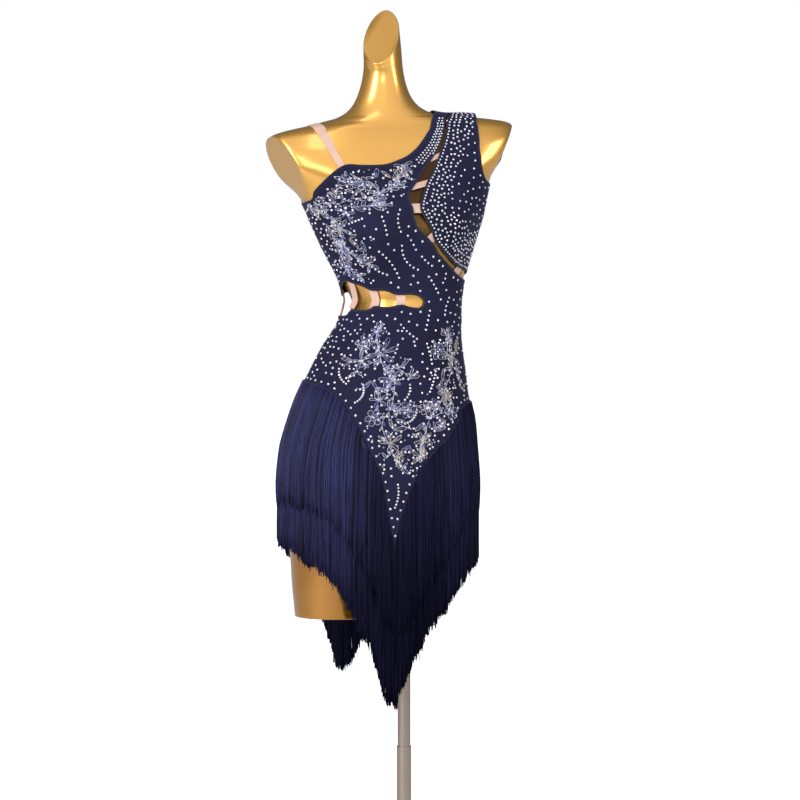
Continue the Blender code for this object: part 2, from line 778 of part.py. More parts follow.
def build_stand():
    upper, lower, bore = TUBE["upper_radius"], TUBE["lower_radius"], TUBE["bore_radius"]
    low, high, wall = UPPER_TUBE["low"], UPPER_TUBE["high"], TUBE["wall"]
    lathe(
        "upper_tube",
        [(upper - wall, low), (upper, low), (upper, high), (upper - wall, high)],
        TUBE["sides"],
        "steel",
    )
    foot = BASE["thick"] + SEAM_GAP
    lathe(
        "lower_tube",
        [(bore, foot), (lower, foot), (lower, LOWER_TUBE_TOP), (bore, LOWER_TUBE_TOP)],
        TUBE["sides"],
        "steel",
    )
    radius, thick, edge = BASE["radius"], BASE["thick"], BASE["edge"]
    boss, boss_top, hole = BOSS["radius"], BOSS["top"], lower + SEAM_GAP
    lathe(
        "base_plate",
        [
            (0, 0),
            (radius - edge, 0),
            (radius, edge),
            (radius, thick - edge),
            (radius - edge, thick),
            (boss, thick),
            (boss, boss_top - edge),
            (boss - edge, boss_top),
            (hole, boss_top),
            (hole, thick),
            (0, thick),
        ],
        BASE["sides"],
        "paint",
    )


def carried(spots, start, end, fall=1.0):
    """An edge carried round to the back: its two ends come to these angles."""
    first, last = spots[0].angle, spots[-1].angle
    top = max(spots[0].rise, spots[-1].rise)
    return [
        Spot(start + (spot.angle - first) / (last - first) * (end - start), top - (top - spot.rise) * fall)
        for spot in spots
    ]


def edges():
    """Every pattern edge, as spots."""
    left, right = SIDE_SEAM["left"], SIDE_SEAM["right"]
    rise = SIDE_RISE
    found = {
        "neckline": curve([Spot(left, rise["armpit"]), *NECKLINE, *over_shoulder("neck")]),
        "slit_front": curve(
            [*reversed(over_shoulder("band")), *SLIT_FRONT_EDGE, Spot(right, rise["slit_lower"])]
        ),
        "slit_side": curve(
            [*reversed(over_shoulder("panel")), *SLIT_SIDE_EDGE, Spot(right, rise["slit_upper"])]
        ),
        "armhole": curve([*reversed(over_shoulder("arm")), *ARMHOLE, Spot(right, rise["armhole"])]),
        "opening": curve(
            [Spot(left, rise["opening_lower"]), *reversed(OPENING_LOWER_EDGE)]
            + [*reversed(OPENING_UPPER_EDGE), Spot(left, rise["opening_upper"])],
            9.0,
        ),
        "yoke_left": curve([Spot(left, rise["yoke_left"]), *YOKE_LEFT_EDGE, YOKE_TIP]),
        "yoke_right": curve([YOKE_TIP, *YOKE_RIGHT_EDGE, Spot(right, rise["yoke_right"])]),
    }
    back_tip = BACK_YOKE_TIP
    found["back_yoke_left"] = carried(found["yoke_left"], left, back_tip, BACK_FALL)
    depth = rise["yoke_right"] - found["back_yoke_left"][-1].rise
    fall = depth / (rise["yoke_right"] - found["yoke_right"][0].rise)
    found["back_yoke_right"] = carried(found["yoke_right"], back_tip + 360, right, fall)
    return found


def straight(a, b, step=EDGE_STEP):
    """Spots on a straight seam, its ends left out."""
    gap = (cloth_point(*a, CLOTH_OUTSIDE) - cloth_point(*b, CLOTH_OUTSIDE)).length
    count = max(1, round(gap / step))
    return [
        Spot(a[0] + (b[0] - a[0]) * n / count, a[1] + (b[1] - a[1]) * n / count) for n in range(1, count)
    ]


def shifted(spots, by_angle=0.0, by_rise=0.0):
    return [Spot(spot.angle + by_angle, spot.rise + by_rise) for spot in spots]


def build_panels(edge):
    def loop(*parts):
        """Joins edges end to end with straight seams between them."""
        spots = []
        for part, after in zip(parts, parts[1:] + parts[:1]):
            spots += part
            spots += straight(part[-1], after[0])
        return spots

    front = loop(
        edge["neckline"],
        edge["slit_front"],
        list(reversed(edge["yoke_right"])),
        list(reversed(edge["yoke_left"]))[1:],
        edge["opening"],
    )
    panel("front_panel", front)
    panel("shoulder_panel", loop(list(reversed(edge["slit_side"])), edge["armhole"]))

    rise = SIDE_RISE
    left, right = SIDE_SEAM["left"] + 360 - SIDE_GAP, SIDE_SEAM["right"] + SIDE_GAP
    slit = curve(
        [
            Spot(right, rise["slit_lower"]),
            Spot(BACK_SLIT_END.angle - 8, BACK_SLIT_END.rise - 7),
            BACK_SLIT_END,
            Spot(BACK_SLIT_END.angle - 8, BACK_SLIT_END.rise + 7),
            Spot(right, rise["slit_upper"]),
        ],
        6.0,
    )
    end = BACK_OPENING_END.angle + 360
    opening = curve(
        [
            Spot(left, rise["opening_upper"]),
            Spot(left - 18, rise["opening_upper"] + 5),
            Spot(end + 9, BACK_OPENING_END.rise + 14),
            Spot(end, BACK_OPENING_END.rise),
            Spot(end + 9, BACK_OPENING_END.rise - 14),
            Spot(left - 18, rise["opening_lower"] - 5),
            Spot(left, rise["opening_lower"]),
        ],
        9.0,
    )
    armhole = curve(
        [
            Spot(right, rise["armhole"]),
            Spot(right + 6, 1306),
            Spot(right + 20, 1345),
            *shifted(behind(over_shoulder("arm")), SHOULDER_GAP),
        ]
    )
    neckline = curve(
        [
            *reversed(shifted(behind(over_shoulder("neck")), SHOULDER_GAP)),
            Spot(172, 1352),
            Spot(200, 1332),
            Spot(228, 1304),
            Spot(left, rise["armpit"]),
        ]
    )
    yoke_right = shifted(edge["back_yoke_right"])
    yoke_right[-1] = Spot(right, yoke_right[-1].rise)
    yoke_left = shifted(edge["back_yoke_left"], 360)
    yoke_left[0] = Spot(left, yoke_left[0].rise)
    back = loop(
        yoke_right,
        slit,
        armhole,
        neckline,
        opening,
        yoke_left[:-1],
    )
    panel("back_panel", back)


def build_elastics(edge):
    levels = (ELASTIC_INSIDE, ELASTIC_OUTSIDE)
    for row in SLIT_ELASTICS + WAIST_ELASTICS:
        middle = spot_of(Seen(row.across, row.up))
        wide, tall = steps_at(*middle)
        lean = math.radians(row.lean)
        ahead = Vector((math.cos(lean) / wide, math.sin(lean) / tall)) * row.reach
        path = [
            Spot(middle.angle + ahead.x * t / 3, middle.rise + ahead.y * t / 3) for t in range(-3, 4)
        ]
        band(row.name, path, row.width, levels)
    back = BACK_ELASTIC
    path = [Spot(back["angle"], back["low"] + (back["high"] - back["low"]) * t / 6) for t in range(7)]
    band("waist_back_elastic", path, back["width"], levels)
    arm = ARM_ELASTIC
    path = [Spot(arm["from"] + (arm["to"] - arm["from"]) * t / 6, arm["rise"]) for t in range(7)]
    band("arm_elastic", path, arm["width"], levels)
    over = over_shoulder("elastic")
    path = [*SHOULDER_ELASTIC_PATH, *over[2:], *reversed(behind(over[:-1])), SHOULDER_ELASTIC["back_end"]]
    path = curve(path, 9.0)
    band("shoulder_elastic", path, SHOULDER_ELASTIC["width"], levels)


def build_fringe(name, edge, side, layer, tip_last):
    """One layer of fringe along an edge: a tape with hanging locks. Side is the way out of the cloth."""
    column = layer.name
    dense = []
    for a, b in zip(edge, edge[1:]):
        dense += [Vector(a).lerp(Vector(b), n / 8) for n in range(8)]
    dense.append(Vector(edge[-1]))
    places = [worn_point(spot.x, spot.y) for spot in dense]
    lengths = [0.0]
    for a, b in zip(places, places[1:]):
        lengths.append(lengths[-1] + (b - a).xy.length)
    start = FRINGE["side"] if tip_last else 0.0
    span = lengths[-1] - FRINGE["side"]
    pitch = span / round(span / FRINGE["pitch"])
    gap = FRINGE["gap"]
    begin = start - pitch * layer.shift
    stops = []
    while begin < start + span - 2 * gap:
        low, high = max(begin, start) + gap / 2, min(begin + pitch, start + span) - gap / 2
        stops += [low, high]
        begin += pitch

    def at(length):
        i = max(n for n, have in enumerate(lengths[:-1]) if have <= length + 1e-9)
        t = (length - lengths[i]) / max(lengths[i + 1] - lengths[i], 1e-9)
        here = dense[i].lerp(dense[i + 1], t)
        wide, tall = steps_at(here.x, here.y)
        ahead = dense[i + 1] - dense[i]
        flat = Vector((ahead.x * wide, ahead.y * tall)).normalized()
        out = Vector((flat.y, -flat.x)) * side
        return here, Vector((out.x / wide, out.y / tall))

    ladder = []
    for stop in stops:
        here, out = at(stop)
        parted = FRINGE["parted"]
        ladder.append((here + out * parted, here + out * (parted + FRINGE["tape"])))
    # The last lock hangs under the very tip of the yoke.
    tip = dense[-1 if tip_last else 0]
    wide = steps_at(tip.x, tip.y)[0] * (-1 if tip_last else 1) * side
    turn = [
        (
            tip + Vector((row.high_aside / wide, -row.high_down)),
            tip + Vector((row.low_aside / wide, -row.low_down)),
        )
        for row in TIP_TURNS
    ]
    ladder = [*ladder, *turn] if tip_last else [*reversed(turn), *ladder]

    points = []
    faces = []
    levels = (layer.inside, layer.outside)
    tops = []
    for high, low in ladder:
        tops.append((len(points), low))
        for spot, level in ((high, 0), (high, 1), (low, 1), (low, 0)):
            points.append(cloth_point(spot.x, spot.y, levels[level]))
    first, last = tops[0][0], tops[-1][0]
    faces.append((first, first + 1, first + 2, first + 3))
    faces.append((last + 3, last + 2, last + 1, last))
    for n, ((a, low_a), (b, low_b)) in enumerate(zip(tops, tops[1:])):
        for k in (0, 1, 3):
            m = (k + 1) % 4
            faces.append((a + k, b + k, b + m, a + m))
        if n % 2:
            faces.append((a + 2, b + 2, b + 3, a + 3))
            continue
        middle = (low_a.x + low_b.x) / 2
        wave = math.sin(2 * math.pi * middle / HEM_WAVE["angle"] + len(name)) + 0.6 * math.sin(2.9 * middle)
        hem_angle = middle if middle >= HEMS[0].angle else middle + 360
        hem = getattr(HEM_TABLE.at(hem_angle), column) + HEM_WAVE["depth"] * wave
        start = min(low_a.y, low_b.y)
        knees = [rise for rise in LOCK_KNEES if rise < start - layer.knee_below]
        ring = (a + 3, a + 2, b + 2, b + 3)
        for knee in [*knees, hem]:
            taper = FRINGE["point"] if knee == hem else 0.0
            turned = []
            ends = ((low_a, 0), (low_a, 1), (low_b, 1), (low_b, 0))
            for spot, level in ends:
                angle = spot.x + (middle - spot.x) * taper
                turned.append(len(points))
                points.append(cloth_point(angle, knee, levels[level]))
            for k in range(4):
                m = (k + 1) % 4
                faces.append((ring[k], ring[m], turned[m], turned[k]))
            ring = tuple(turned)
        faces.append(ring)
    add(name, points, faces, "fringe")


def build_fringes(edge):
    sides = {
        "front_left": (edge["yoke_left"], 1, True),
        "front_right": (edge["yoke_right"], 1, False),
        "back_left": (edge["back_yoke_left"], -1, True),
        "back_right": (edge["back_yoke_right"], -1, False),
    }
    for place, (line, side, tip_last) in sides.items():
        for layer in LAYERS:
            build_fringe(f"fringe_{place}_{layer.name}", line, side, layer, tip_last)


def main():
    for old in list(bpy.data.objects):
        bpy.data.objects.remove(old, do_unlink=True)
    build_form()
    build_stand()
    edge = edges()
    build_panels(edge)
    build_elastics(edge)
    build_fringes(edge)


main()
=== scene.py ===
"""Looks of the salsa dress on its dress form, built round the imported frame.

Tables are in millimetres and degrees. Round the figure, angle 0 is the centre front, +90 its +X side and 180
the centre back. Rise is the path up the figure's side: the height up to the shoulders' widest point, then
inwards along the top of the shoulder. Places are worked out for whole arrays at a time.
"""

import json
import math
from collections import namedtuple

import bmesh
import bpy
import numpy as np
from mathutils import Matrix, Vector
from mathutils.geometry import delaunay_2d_cdt

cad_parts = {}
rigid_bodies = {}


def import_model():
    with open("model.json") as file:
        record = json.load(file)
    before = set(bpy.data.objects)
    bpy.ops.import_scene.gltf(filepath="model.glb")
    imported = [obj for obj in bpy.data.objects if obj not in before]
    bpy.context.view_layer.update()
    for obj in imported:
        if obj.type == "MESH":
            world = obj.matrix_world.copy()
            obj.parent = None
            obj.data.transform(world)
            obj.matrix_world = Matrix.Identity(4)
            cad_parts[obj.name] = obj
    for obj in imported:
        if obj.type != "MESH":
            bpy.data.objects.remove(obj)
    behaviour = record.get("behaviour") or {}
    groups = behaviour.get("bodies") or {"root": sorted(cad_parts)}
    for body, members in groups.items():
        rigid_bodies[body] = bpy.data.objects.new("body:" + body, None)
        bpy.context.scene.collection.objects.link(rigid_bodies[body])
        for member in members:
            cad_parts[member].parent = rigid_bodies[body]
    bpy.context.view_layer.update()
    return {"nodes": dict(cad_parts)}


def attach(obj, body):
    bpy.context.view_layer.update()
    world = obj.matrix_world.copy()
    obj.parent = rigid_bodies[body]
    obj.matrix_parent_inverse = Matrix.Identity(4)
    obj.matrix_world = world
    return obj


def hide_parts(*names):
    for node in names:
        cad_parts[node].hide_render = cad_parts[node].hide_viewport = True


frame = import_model()

MM = 0.001


def rows_of(kind, rows):
    """A table's rows, each with its numbers by name."""
    return [kind(*row) for row in rows]


# ---- driving sizes
CLOTH_INSIDE = 2.0  # from the form to the inside of the cloth
CLOTH_OUTSIDE = 3.2  # stretch velvet with its turned edge is 1.2 thick
ELASTIC_INSIDE = 0.4  # the elastics are sewn on under the cloth's edges
ELASTIC_OUTSIDE = 1.4
SHOULDER_WIDEST = 1380.0  # rise where the path turns inwards
BUST = {"rise": 1216.0, "angle": 27.0, "depth": 17.0, "tall": 42.0, "wide": 19.0}
SEAT = {"rise": 872.0, "angle": 152.0, "depth": 9.0, "tall": 55.0, "wide": 22.0}

# One row for each level of the dress form. x, y and z are the ring's centre, roll lifts its +X side, pitch
# drops its front, square above 2 makes it boxier, and cleft parts it into two thighs.
Section = namedtuple(
    "Section",
    "rise z x y half_width front back roll square cleft pitch turn",
    defaults=(0, 2, 0, 0, 0),
)
FIGURE = rows_of(Section, [
    (568, 568, -61, -15, 131, 66, 69, 0, 2, 0.985),
    (600, 600, -61, -15, 134, 69, 72, 0, 2, 0.985),
    (658, 658, -56, -15, 143, 76, 80, 0, 2, 0.985),
    (726, 726, -52, -14, 150, 84, 91, 0, 2, 0.96),
    (794, 794, -48, -13, 153, 90, 104, 0, 2, 0.72),
    (845, 845, -46, -12, 153, 97, 112, -1, 2, 0.30),
    (896, 896, -40, -10, 149, 98, 110, -2, 2, 0.05),
    (956, 956, -33, -8, 137, 94, 98, -3, 2),
    (1015, 1015, -21, -5, 118, 86, 84, -2, 2),
    (1066, 1066, -4, -1, 99, 77, 78, 0, 2),
    (1095, 1095, 4, 0, 93, 75, 77, 1, 2),
    (1134, 1134, -2, 0, 105, 79, 80, 2, 2),
    (1185, 1185, -8, 0, 127, 88, 86, 3, 2),
    (1236, 1236, -11, 0, 147, 90, 90, 4, 2.1),
    (1270, 1270, -13, 2, 158, 86, 92, 5, 2.2),
    (1293, 1293, -15, 4, 167, 81, 91, 6, 2.5),
    (1335, 1335, -22, 8, 207, 70, 82, 5, 3.4),
    (1362, 1362, -21, 10, 219, 63, 75, 5, 3.6),
    (1380, 1380, -20, 12, 218, 57, 68, 5, 3.4),
    (1390, 1390, -20, 12, 209, 52, 62, 5, 2.9),
    (1415, 1397, -21, 12, 182, 49, 57, 5, 2.5),
    (1442, 1402, -22, 12, 151, 47, 54, 5, 2.2),
    (1491, 1409, -23, 12, 98, 45, 51, 3, 2.1),
    (1515, 1415, -26, 13, 76, 44, 49, 3, 2.1),
    (1538, 1427, -31, 13, 54, 42, 45, 2, 2),
    (1560, 1446, -32, 12, 45, 39, 40, 0, 2),
    (1590, 1473, -33, 11, 36, 34, 35, 0, 2, 0, 4, -8),
    (1612, 1495, -34, 9, 33, 36, 37, 0, 2, 0, 22, -20),
    (1636, 1521, -36, 8, 32, 45, 46, 0, 2, 0, 42, -28),
    (1660, 1547, -38, 8, 30, 60, 62, 0, 2, 0, 56, -30),
])
# Below the hip the cloth and the fringe hang straight down from the fullest ring of the figure.
SKIRT = rows_of(Section, [
    (380, 380, -48, -12, 167, 108, 125, 0, 2.4),
    (780, 780, -48, -12, 167, 108, 125, 0, 2.4),
    (845, 845, -47, -12, 163, 105, 121, 0, 2.35),
    (896, 896, -41, -10, 155, 102, 115, -1, 2.2),
])
HIP_RISE = 900.0  # above this the cloth follows the figure

# Taut cloth and elastics bridge the figure's hollows. Each row is one soft bridge.
Bridge = namedtuple("Bridge", "angle rise depth wide tall")
BRIDGES = rows_of(Bridge, [
    (-106, 1092, 15, 30, 34),  # the corners of the waist opening
    (-150, 1092, 5, 22, 34),
    (-30, 1098, 3.5, 40, 26),
    (0, 1222, 10.5, 18, 52),  # between the breasts
    (32, 1222, 7, 20, 62),  # the slit's two edges
    (90, 1470, 5.5, 60, 60),  # the top of the shoulder
])
# The skirt's yoke has soft drag lines towards the hip.
DRAG = {"depth": 1.3, "rise": 985.0, "tall": 60.0, "folds": 5.0, "lean": 17.0}

# Pattern edges are marked as they stand in the fitting view: level, 3.5 m from the pole and 16 degrees round
# to the figure's right. Across is from the pole and up is from the floor.
VIEW = {"turn": -16.0, "distance": 3500.0, "height": 930.0, "aside": 6.8}
Seen = namedtuple("Seen", "across up")
Spot = namedtuple("Spot", "angle rise")  # a place on the figure


SIDE_SEAM = {"left": -108.0, "right": 92.0}

NECKLINE = rows_of(Seen, [  # from the left armpit up to the right shoulder
    (-160, 1268), (-153, 1283), (-138, 1299), (-125, 1312), (-108, 1325), (-94, 1330), (-73, 1329),
    (-47, 1329), (-27, 1331), (-8, 1338), (5, 1344), (18, 1354), (28, 1365),
])
SLIT_FRONT_EDGE = rows_of(Seen, [  # from the right shoulder down to the right side
    (60, 1367), (50, 1346), (36, 1325), (20, 1300), (10, 1284), (9, 1271), (15, 1255), (17, 1238), (25, 1221),
    (39, 1206), (51, 1192), (60, 1177), (78, 1157), (95, 1139),
])
SLIT_SIDE_EDGE = rows_of(Seen, [
    (68, 1367), (60, 1344), (50, 1320), (39, 1297), (31, 1272), (29, 1256), (35, 1242), (47, 1221),
    (52, 1204), (61, 1191), (78, 1171), (95, 1156),
])
ARMHOLE = rows_of(Seen, [  # from the right shoulder down to the side
    (125, 1394), (127.5, 1373), (129, 1351), (132, 1328), (137, 1309), (143, 1300),
])
# The waist opening's scalloped edges, from the left side to its closed end.
OPENING_UPPER_EDGE = rows_of(Seen, [
    (-101, 1132), (-90, 1130), (-72, 1124), (-56, 1117), (-31, 1116), (-13, 1110), (12, 1110), (25, 1108),
    (33, 1103), (36, 1096),
])
OPENING_LOWER_EDGE = rows_of(Seen, [
    (33, 1090), (26, 1086), (12, 1087), (-5, 1091), (-28, 1087), (-50, 1089), (-62, 1083), (-90, 1082),
    (-100, 1073),
])
YOKE_LEFT_EDGE = rows_of(Seen, [  # the fringed edge, from the left side to the tail's tip
    (-151, 957), (-129, 949), (-107, 927), (-90, 902), (-73, 873), (-60, 845), (-46, 815), (-37, 786),
    (-32, 757), (-25, 716),
])
YOKE_TIP = Seen(-16, 673)
YOKE_RIGHT_EDGE = rows_of(Seen, [  # from the tip up to the right side
    (-7, 718), (2, 745), (15, 783), (34, 822), (54, 846), (78, 873), (92, 898), (102, 922),
])
SIDE_RISE = {  # where the edges cross the side seams
    "armpit": 1276.0,
    "opening_upper": 1116.0,
    "opening_lower": 1066.0,
    "yoke_left": 957.0,
    "yoke_right": 938.0,
    "slit_lower": 1126.0,
    "slit_upper": 1142.0,
    "armhole": 1279.0,
}
# Where the edges cross the shoulder, across from the pole: low is at the rise where they leave their marks.
Crossing = namedtuple("Crossing", "low top")
CROSSINGS = {
    "neck": Crossing(35.5, 51.0),
    "band": Crossing(56.5, 76.0),
    "panel": Crossing(62.5, 80.0),
    "arm": Crossing(116.0, 123.0),
    "elastic": Crossing(-154.0, -159.0),
}
CROSSING_START = 1386.0
SHOULDER_STEPS = {"high": 1540.0, "halvings": 40, "spots": 9}
# The back's own edges. Angles of the slit and of the opening go on from the side seams.
BACK_SLIT = {"end": Spot(116, 1143), "angle": 8, "half": 7}
BACK_OPENING = {"end": Spot(208, 1093), "angle": 9, "half": 14, "shoulder": 18, "wider": 5}
BACK_ARMHOLE = [Spot(6, 1306), Spot(20, 1345)]  # angles past the side seam
BACK_NECKLINE = [Spot(172, 1352), Spot(200, 1332), Spot(228, 1304)]
BACK_YOKE_TIP = -166.0  # its angle
BACK_FALL = 0.9  # the back yoke's fall against the front's

Elastic = namedtuple("Elastic", "name across up lean reach width")
SLIT_ELASTICS = rows_of(Elastic, [  # lean is the elastic's slope in degrees, reach is half its length
    ("slit_elastic_1", 54, 1344, 24, 11, 9),
    ("slit_elastic_2", 29, 1297, 12, 18, 11),
    ("slit_elastic_3", 21, 1257, -4, 14, 15),
    ("slit_elastic_4", 46, 1203, 42, 15, 14),
    ("slit_elastic_5", 93, 1149, 50, 14, 18),
])
WAIST_ELASTICS = rows_of(Elastic, [
    ("waist_elastic_1", -86, 1107, 78, 31, 12),
    ("waist_elastic_2", -50, 1102, 88, 20, 14),
    ("waist_elastic_3", -5, 1099, 89, 16, 15),
])
BACK_ELASTIC = {"angle": -109.0, "low": 1058.0, "high": 1124.0, "width": 12.0}
SHOULDER_GAP = 1.2  # degrees between front and back at the top of the shoulder
SIDE_GAP = 0.35  # and at the side seams
ARM_ELASTIC = {"from": -98.0, "to": -124.0, "rise": 1277.0, "width": 12.0}
SHOULDER_ELASTIC = {"width": 13.5, "step": 4.0, "left_out": 2, "back_end": Spot(-150, 1316)}
SHOULDER_ELASTIC_PATH = rows_of(Seen, [
    (-99, 1319), (-106, 1330), (-114, 1342), (-121, 1355), (-128.5, 1369.5), (-138.5, 1383.5),
])

# ---- sizes of the fringe
# The woven heading that the strands hang from; parted is its gap to the seam.
TAPE = {"height": 6.0, "parted": 0.6, "thick": 1.1, "crown": 0.3}
Layer = namedtuple("Layer", "name inside outside")
LAYERS = [Layer("under", 0.9, 2.5), Layer("over", 3.8, 5.4)]
# Lower ends of the two layers, by angle.
Hem = namedtuple("Hem", "angle under over")
HEMS = rows_of(Hem, [
    (-166, 468, 566), (-160, 530, 620), (-154, 574, 655), (-146, 620, 690), (-130, 670, 734),
    (-108, 705, 764), (-92, 692, 763), (-70, 684, 761), (-50, 661, 752), (-34, 625, 722),
    (-24, 575, 684), (-15, 517, 630), (-8, 449, 577), (-3, 428, 556), (0, 438, 550),
    (9, 489, 572), (18, 547, 614), (32, 594, 678), (54, 653, 742), (72, 668, 756),
    (92, 668, 752), (112, 640, 735), (140, 590, 690), (165, 546, 648), (174, 524, 628),
    (180, 502, 608), (184, 474, 592), (190, 464, 576), (194, 468, 566),
])
HEM_WAVE = {"angle": 7.3, "second": 0.6, "second_rate": 2.9}
STRANDS = {
    # set in the tape: the seam's fineness, a row's pitch, jitter, clear ends and start below the seam
    "line_parts": 3,
    "pitch": 0.98,
    "rows": 3,
    "start": 0.2,
    "jitter": 0.16,
    "margin": 0.2,
    "below_seam": 1.0,
    # the cord: points along it, how they crowd, its section, and its radius by row from the inside
    "points": 11,
    "crowd": 0.9,
    "sides": 3,
    "radius": 0.84,
    "stout": (1.3, 1.15, 1.0),
    "taper": 0.25,
    "taper_power": 12,
    "uneven": (0.85, 1.15),
    # its end: random spreads of its length, the hem's wave, and the shortest that it gets
    "length": 3.0,
    "ragged": 4.5,
    "wave": 2.0,
    "least": 30,
    # how loosely each row hangs, and by how much a strand leans over its lean_reach
    "loose": (0.3, 0.3, 1.0),
    "lean": 0.8,
    "lean_reach": 300,
    "sway_reach": 120,
    "sway_starts": (0, 6.28),
    "curl": 0.7,
    "curl_length": 3.1,
    # at both ends of a seam the strands splay towards the next length of fringe
    "splay": 5.0,
    "splay_reach": 12,
    # how far out: random spread, a slow wave, ripples round the hem, a flare, the over layer's tucked ends
    "level": 0.22,
    "level_wave": 0.4,
    "level_length": 23,
    "ripple": 0.28,
    "ripple_rates": (0.55, 3, 0.11),
    "flare": 1.2,
    "flare_reach": 260,
    "tuck": 1.7,
    "tuck_reach": 45,
    "tuck_power": 1.5,
}
# Strands gather into tufts over their last millimetres. Tufts differ in width and in length.
TUFTS = {
    "width": (3.0, 6.5),
    "spare": 9,
    "length": 2.8,
    "point": 0.3,
    "reach": 15.0,
    "pull": 0.3,
    "pull_power": 1.6,
}
Wave = namedtuple("Wave", "reach length")
SWAY = [Wave(0.5, 31), Wave(0.35, 17)]  # each strand's own
GroupWave = namedtuple("GroupWave", "reach turn fall")
GROUP_WAVES = [GroupWave(1.5, 5.1, 90), GroupWave(0.9, 2.3, -61)]  # neighbours sway together

# ---- sizes of the form and pole
# The arm sockets are closed by flat faces. Each passes through x and z at the pole's depth, and its x goes by
# this much for each millimetre of height and of depth.
ArmFace = namedtuple("ArmFace", "x z by_height by_depth")
ARM_FACES = [ArmFace(-176, 1268, -0.534, -0.12), ArmFace(154, 1309, 0.418, 0.18)]
RIMS = {"end": 2.5, "arm": 5.0, "steps": 7}  # how far the form's ends and its arm faces are rounded
CROTCH = {"x": -57.0, "half_gap": 6.0, "top": 742.0, "arch": 18.0, "deep": 180.0, "turn": 15}
SOCKET = {"radius": 11.5, "top": 612.4, "turn": 10}  # for the pole
BELOW_FORM = 540.0  # where the form's cutters start
# The lacquer behind the fringe lies in shade. Clear is from the hem up to where it starts.
BEHIND = {"high": 1010.0, "turn": 3.0, "step": 5.0, "clear": 10.0, "soft": 14.0, "level": 0.97}
# Where the neck is smoothed, over how many rings, and how near its top face.
NECK = {"low": 1478.0, "fade": 30.0, "rings": 4.0, "reach": 12, "held": 7, "ease": 14}

# ---- finer detail
CURVE_PARTS = 12  # from one mark of a curve to the next
FINE = {"cloth": 4.6, "edge": 3.0, "elastic": 2.5, "form_sides": 192, "form_step": 4.8}
SHARP = {"cloth": 50, "elastic": 60, "form": 40}  # in degrees, where shading breaks
FLAT_DEGREE = 2.4  # panels are meshed in a flat chart: this many millimetres to one degree
GRID = {"row": 0.87, "clear": 0.5}  # the panels' staggered points, in parts of their spacing
JOIN = 1e-4  # points of the flat chart that are closer count as one
BINDING = {"out": 2.75, "radius": 1.35, "flat": 0.72, "sides": 8}
STITCH = {"pitch": 4.5, "radius": 0.24, "aside": 2.9, "rise": 0.12, "parts": (0.12, 0.5, 0.88), "sides": 4}
# Lengthwise ribs of an elastic, and how its two edges are rounded.
RIBS = {"count": 9, "columns": 4, "depth": 0.22, "below": 0.25, "edge": 0.6, "edge_drop": 0.3}
ELASTIC_STEPS = 13  # spots along a short elastic

# Soft creases where the taut cloth pulls, each a ridge with its lean in degrees and its bend. They fade out
# towards the panel's edges.
Crease = namedtuple("Crease", "angle rise length lean depth width bend")
CREASES = rows_of(Crease, [
    (48, 1092, 70, 24, 1.2, 5.0, 2.0),  # the bridge at the right of the waist
    (56, 1078, 62, 10, 0.9, 5.5, -2.0),
    (40, 1110, 52, 44, 0.7, 5.0, 1.5),
    (70, 1064, 66, -8, 1.0, 6.5, 2.5),
    (76, 1112, 58, 30, 0.8, 5.0, -1.0),
    (-64, 1056, 74, -24, 1.0, 6.5, 3.0),  # under the waist opening
    (-84, 1040, 66, -34, 1.1, 7.0, -2.0),
    (-48, 1034, 80, -14, 0.7, 7.5, 2.0),
    (-92, 1160, 60, 58, 0.8, 6.0, 2.0),  # the bodice's left side
    (-84, 1246, 50, 32, 0.9, 5.5, -1.5),
    (-68, 1262, 56, 22, 0.7, 5.5, 1.0),
    (6, 1206, 60, 74, 0.6, 6.5, 2.0),  # between the breasts
    (62, 1300, 54, -58, 0.7, 5.0, 1.5),  # the right armhole
    (58, 1262, 60, -40, 0.6, 6.0, -1.0),
    (30, 960, 110, -70, 0.7, 9.0, 2.0),  # the yoke
    (-28, 938, 120, 66, 0.7, 9.0, -2.0),
    (0, 880, 110, 88, 0.6, 8.0, 1.0),
    (122, 1092, 74, -18, 1.1, 6.0, 2.0),  # the back of the waist
    (140, 1078, 80, 8, 0.9, 6.5, -2.5),
    (164, 1100, 70, 16, 1.0, 6.0, 2.0),
    (186, 1066, 84, -10, 0.8, 7.0, 1.5),
    (204, 1044, 76, -26, 0.9, 7.0, -1.5),
    (222, 1150, 60, 52, 0.8, 6.0, 2.0),
    (128, 1300, 60, 62, 0.7, 6.0, 1.5),
    (150, 1250, 90, 80, 0.6, 8.0, -1.5),
    (190, 1240, 90, 96, 0.6, 8.0, 1.5),
    (180, 940, 120, 88, 0.7, 9.0, 1.0),
])
CREASE_FADE = {"edge": 14, "least": 0.15}

# ---- sizes and places of the decoration
# Places on the front are marked by the photograph's pixels: its scale and its pixel under the pole's foot.
PIXEL = {"size": 1.70, "across": 686.8, "up": 1610.4}
STONE = {"radius": 1.95, "height": 1.25, "sides": 8, "table": 0.56, "girdle": 0.2, "tilt": 0.06, "lift": 0.05}

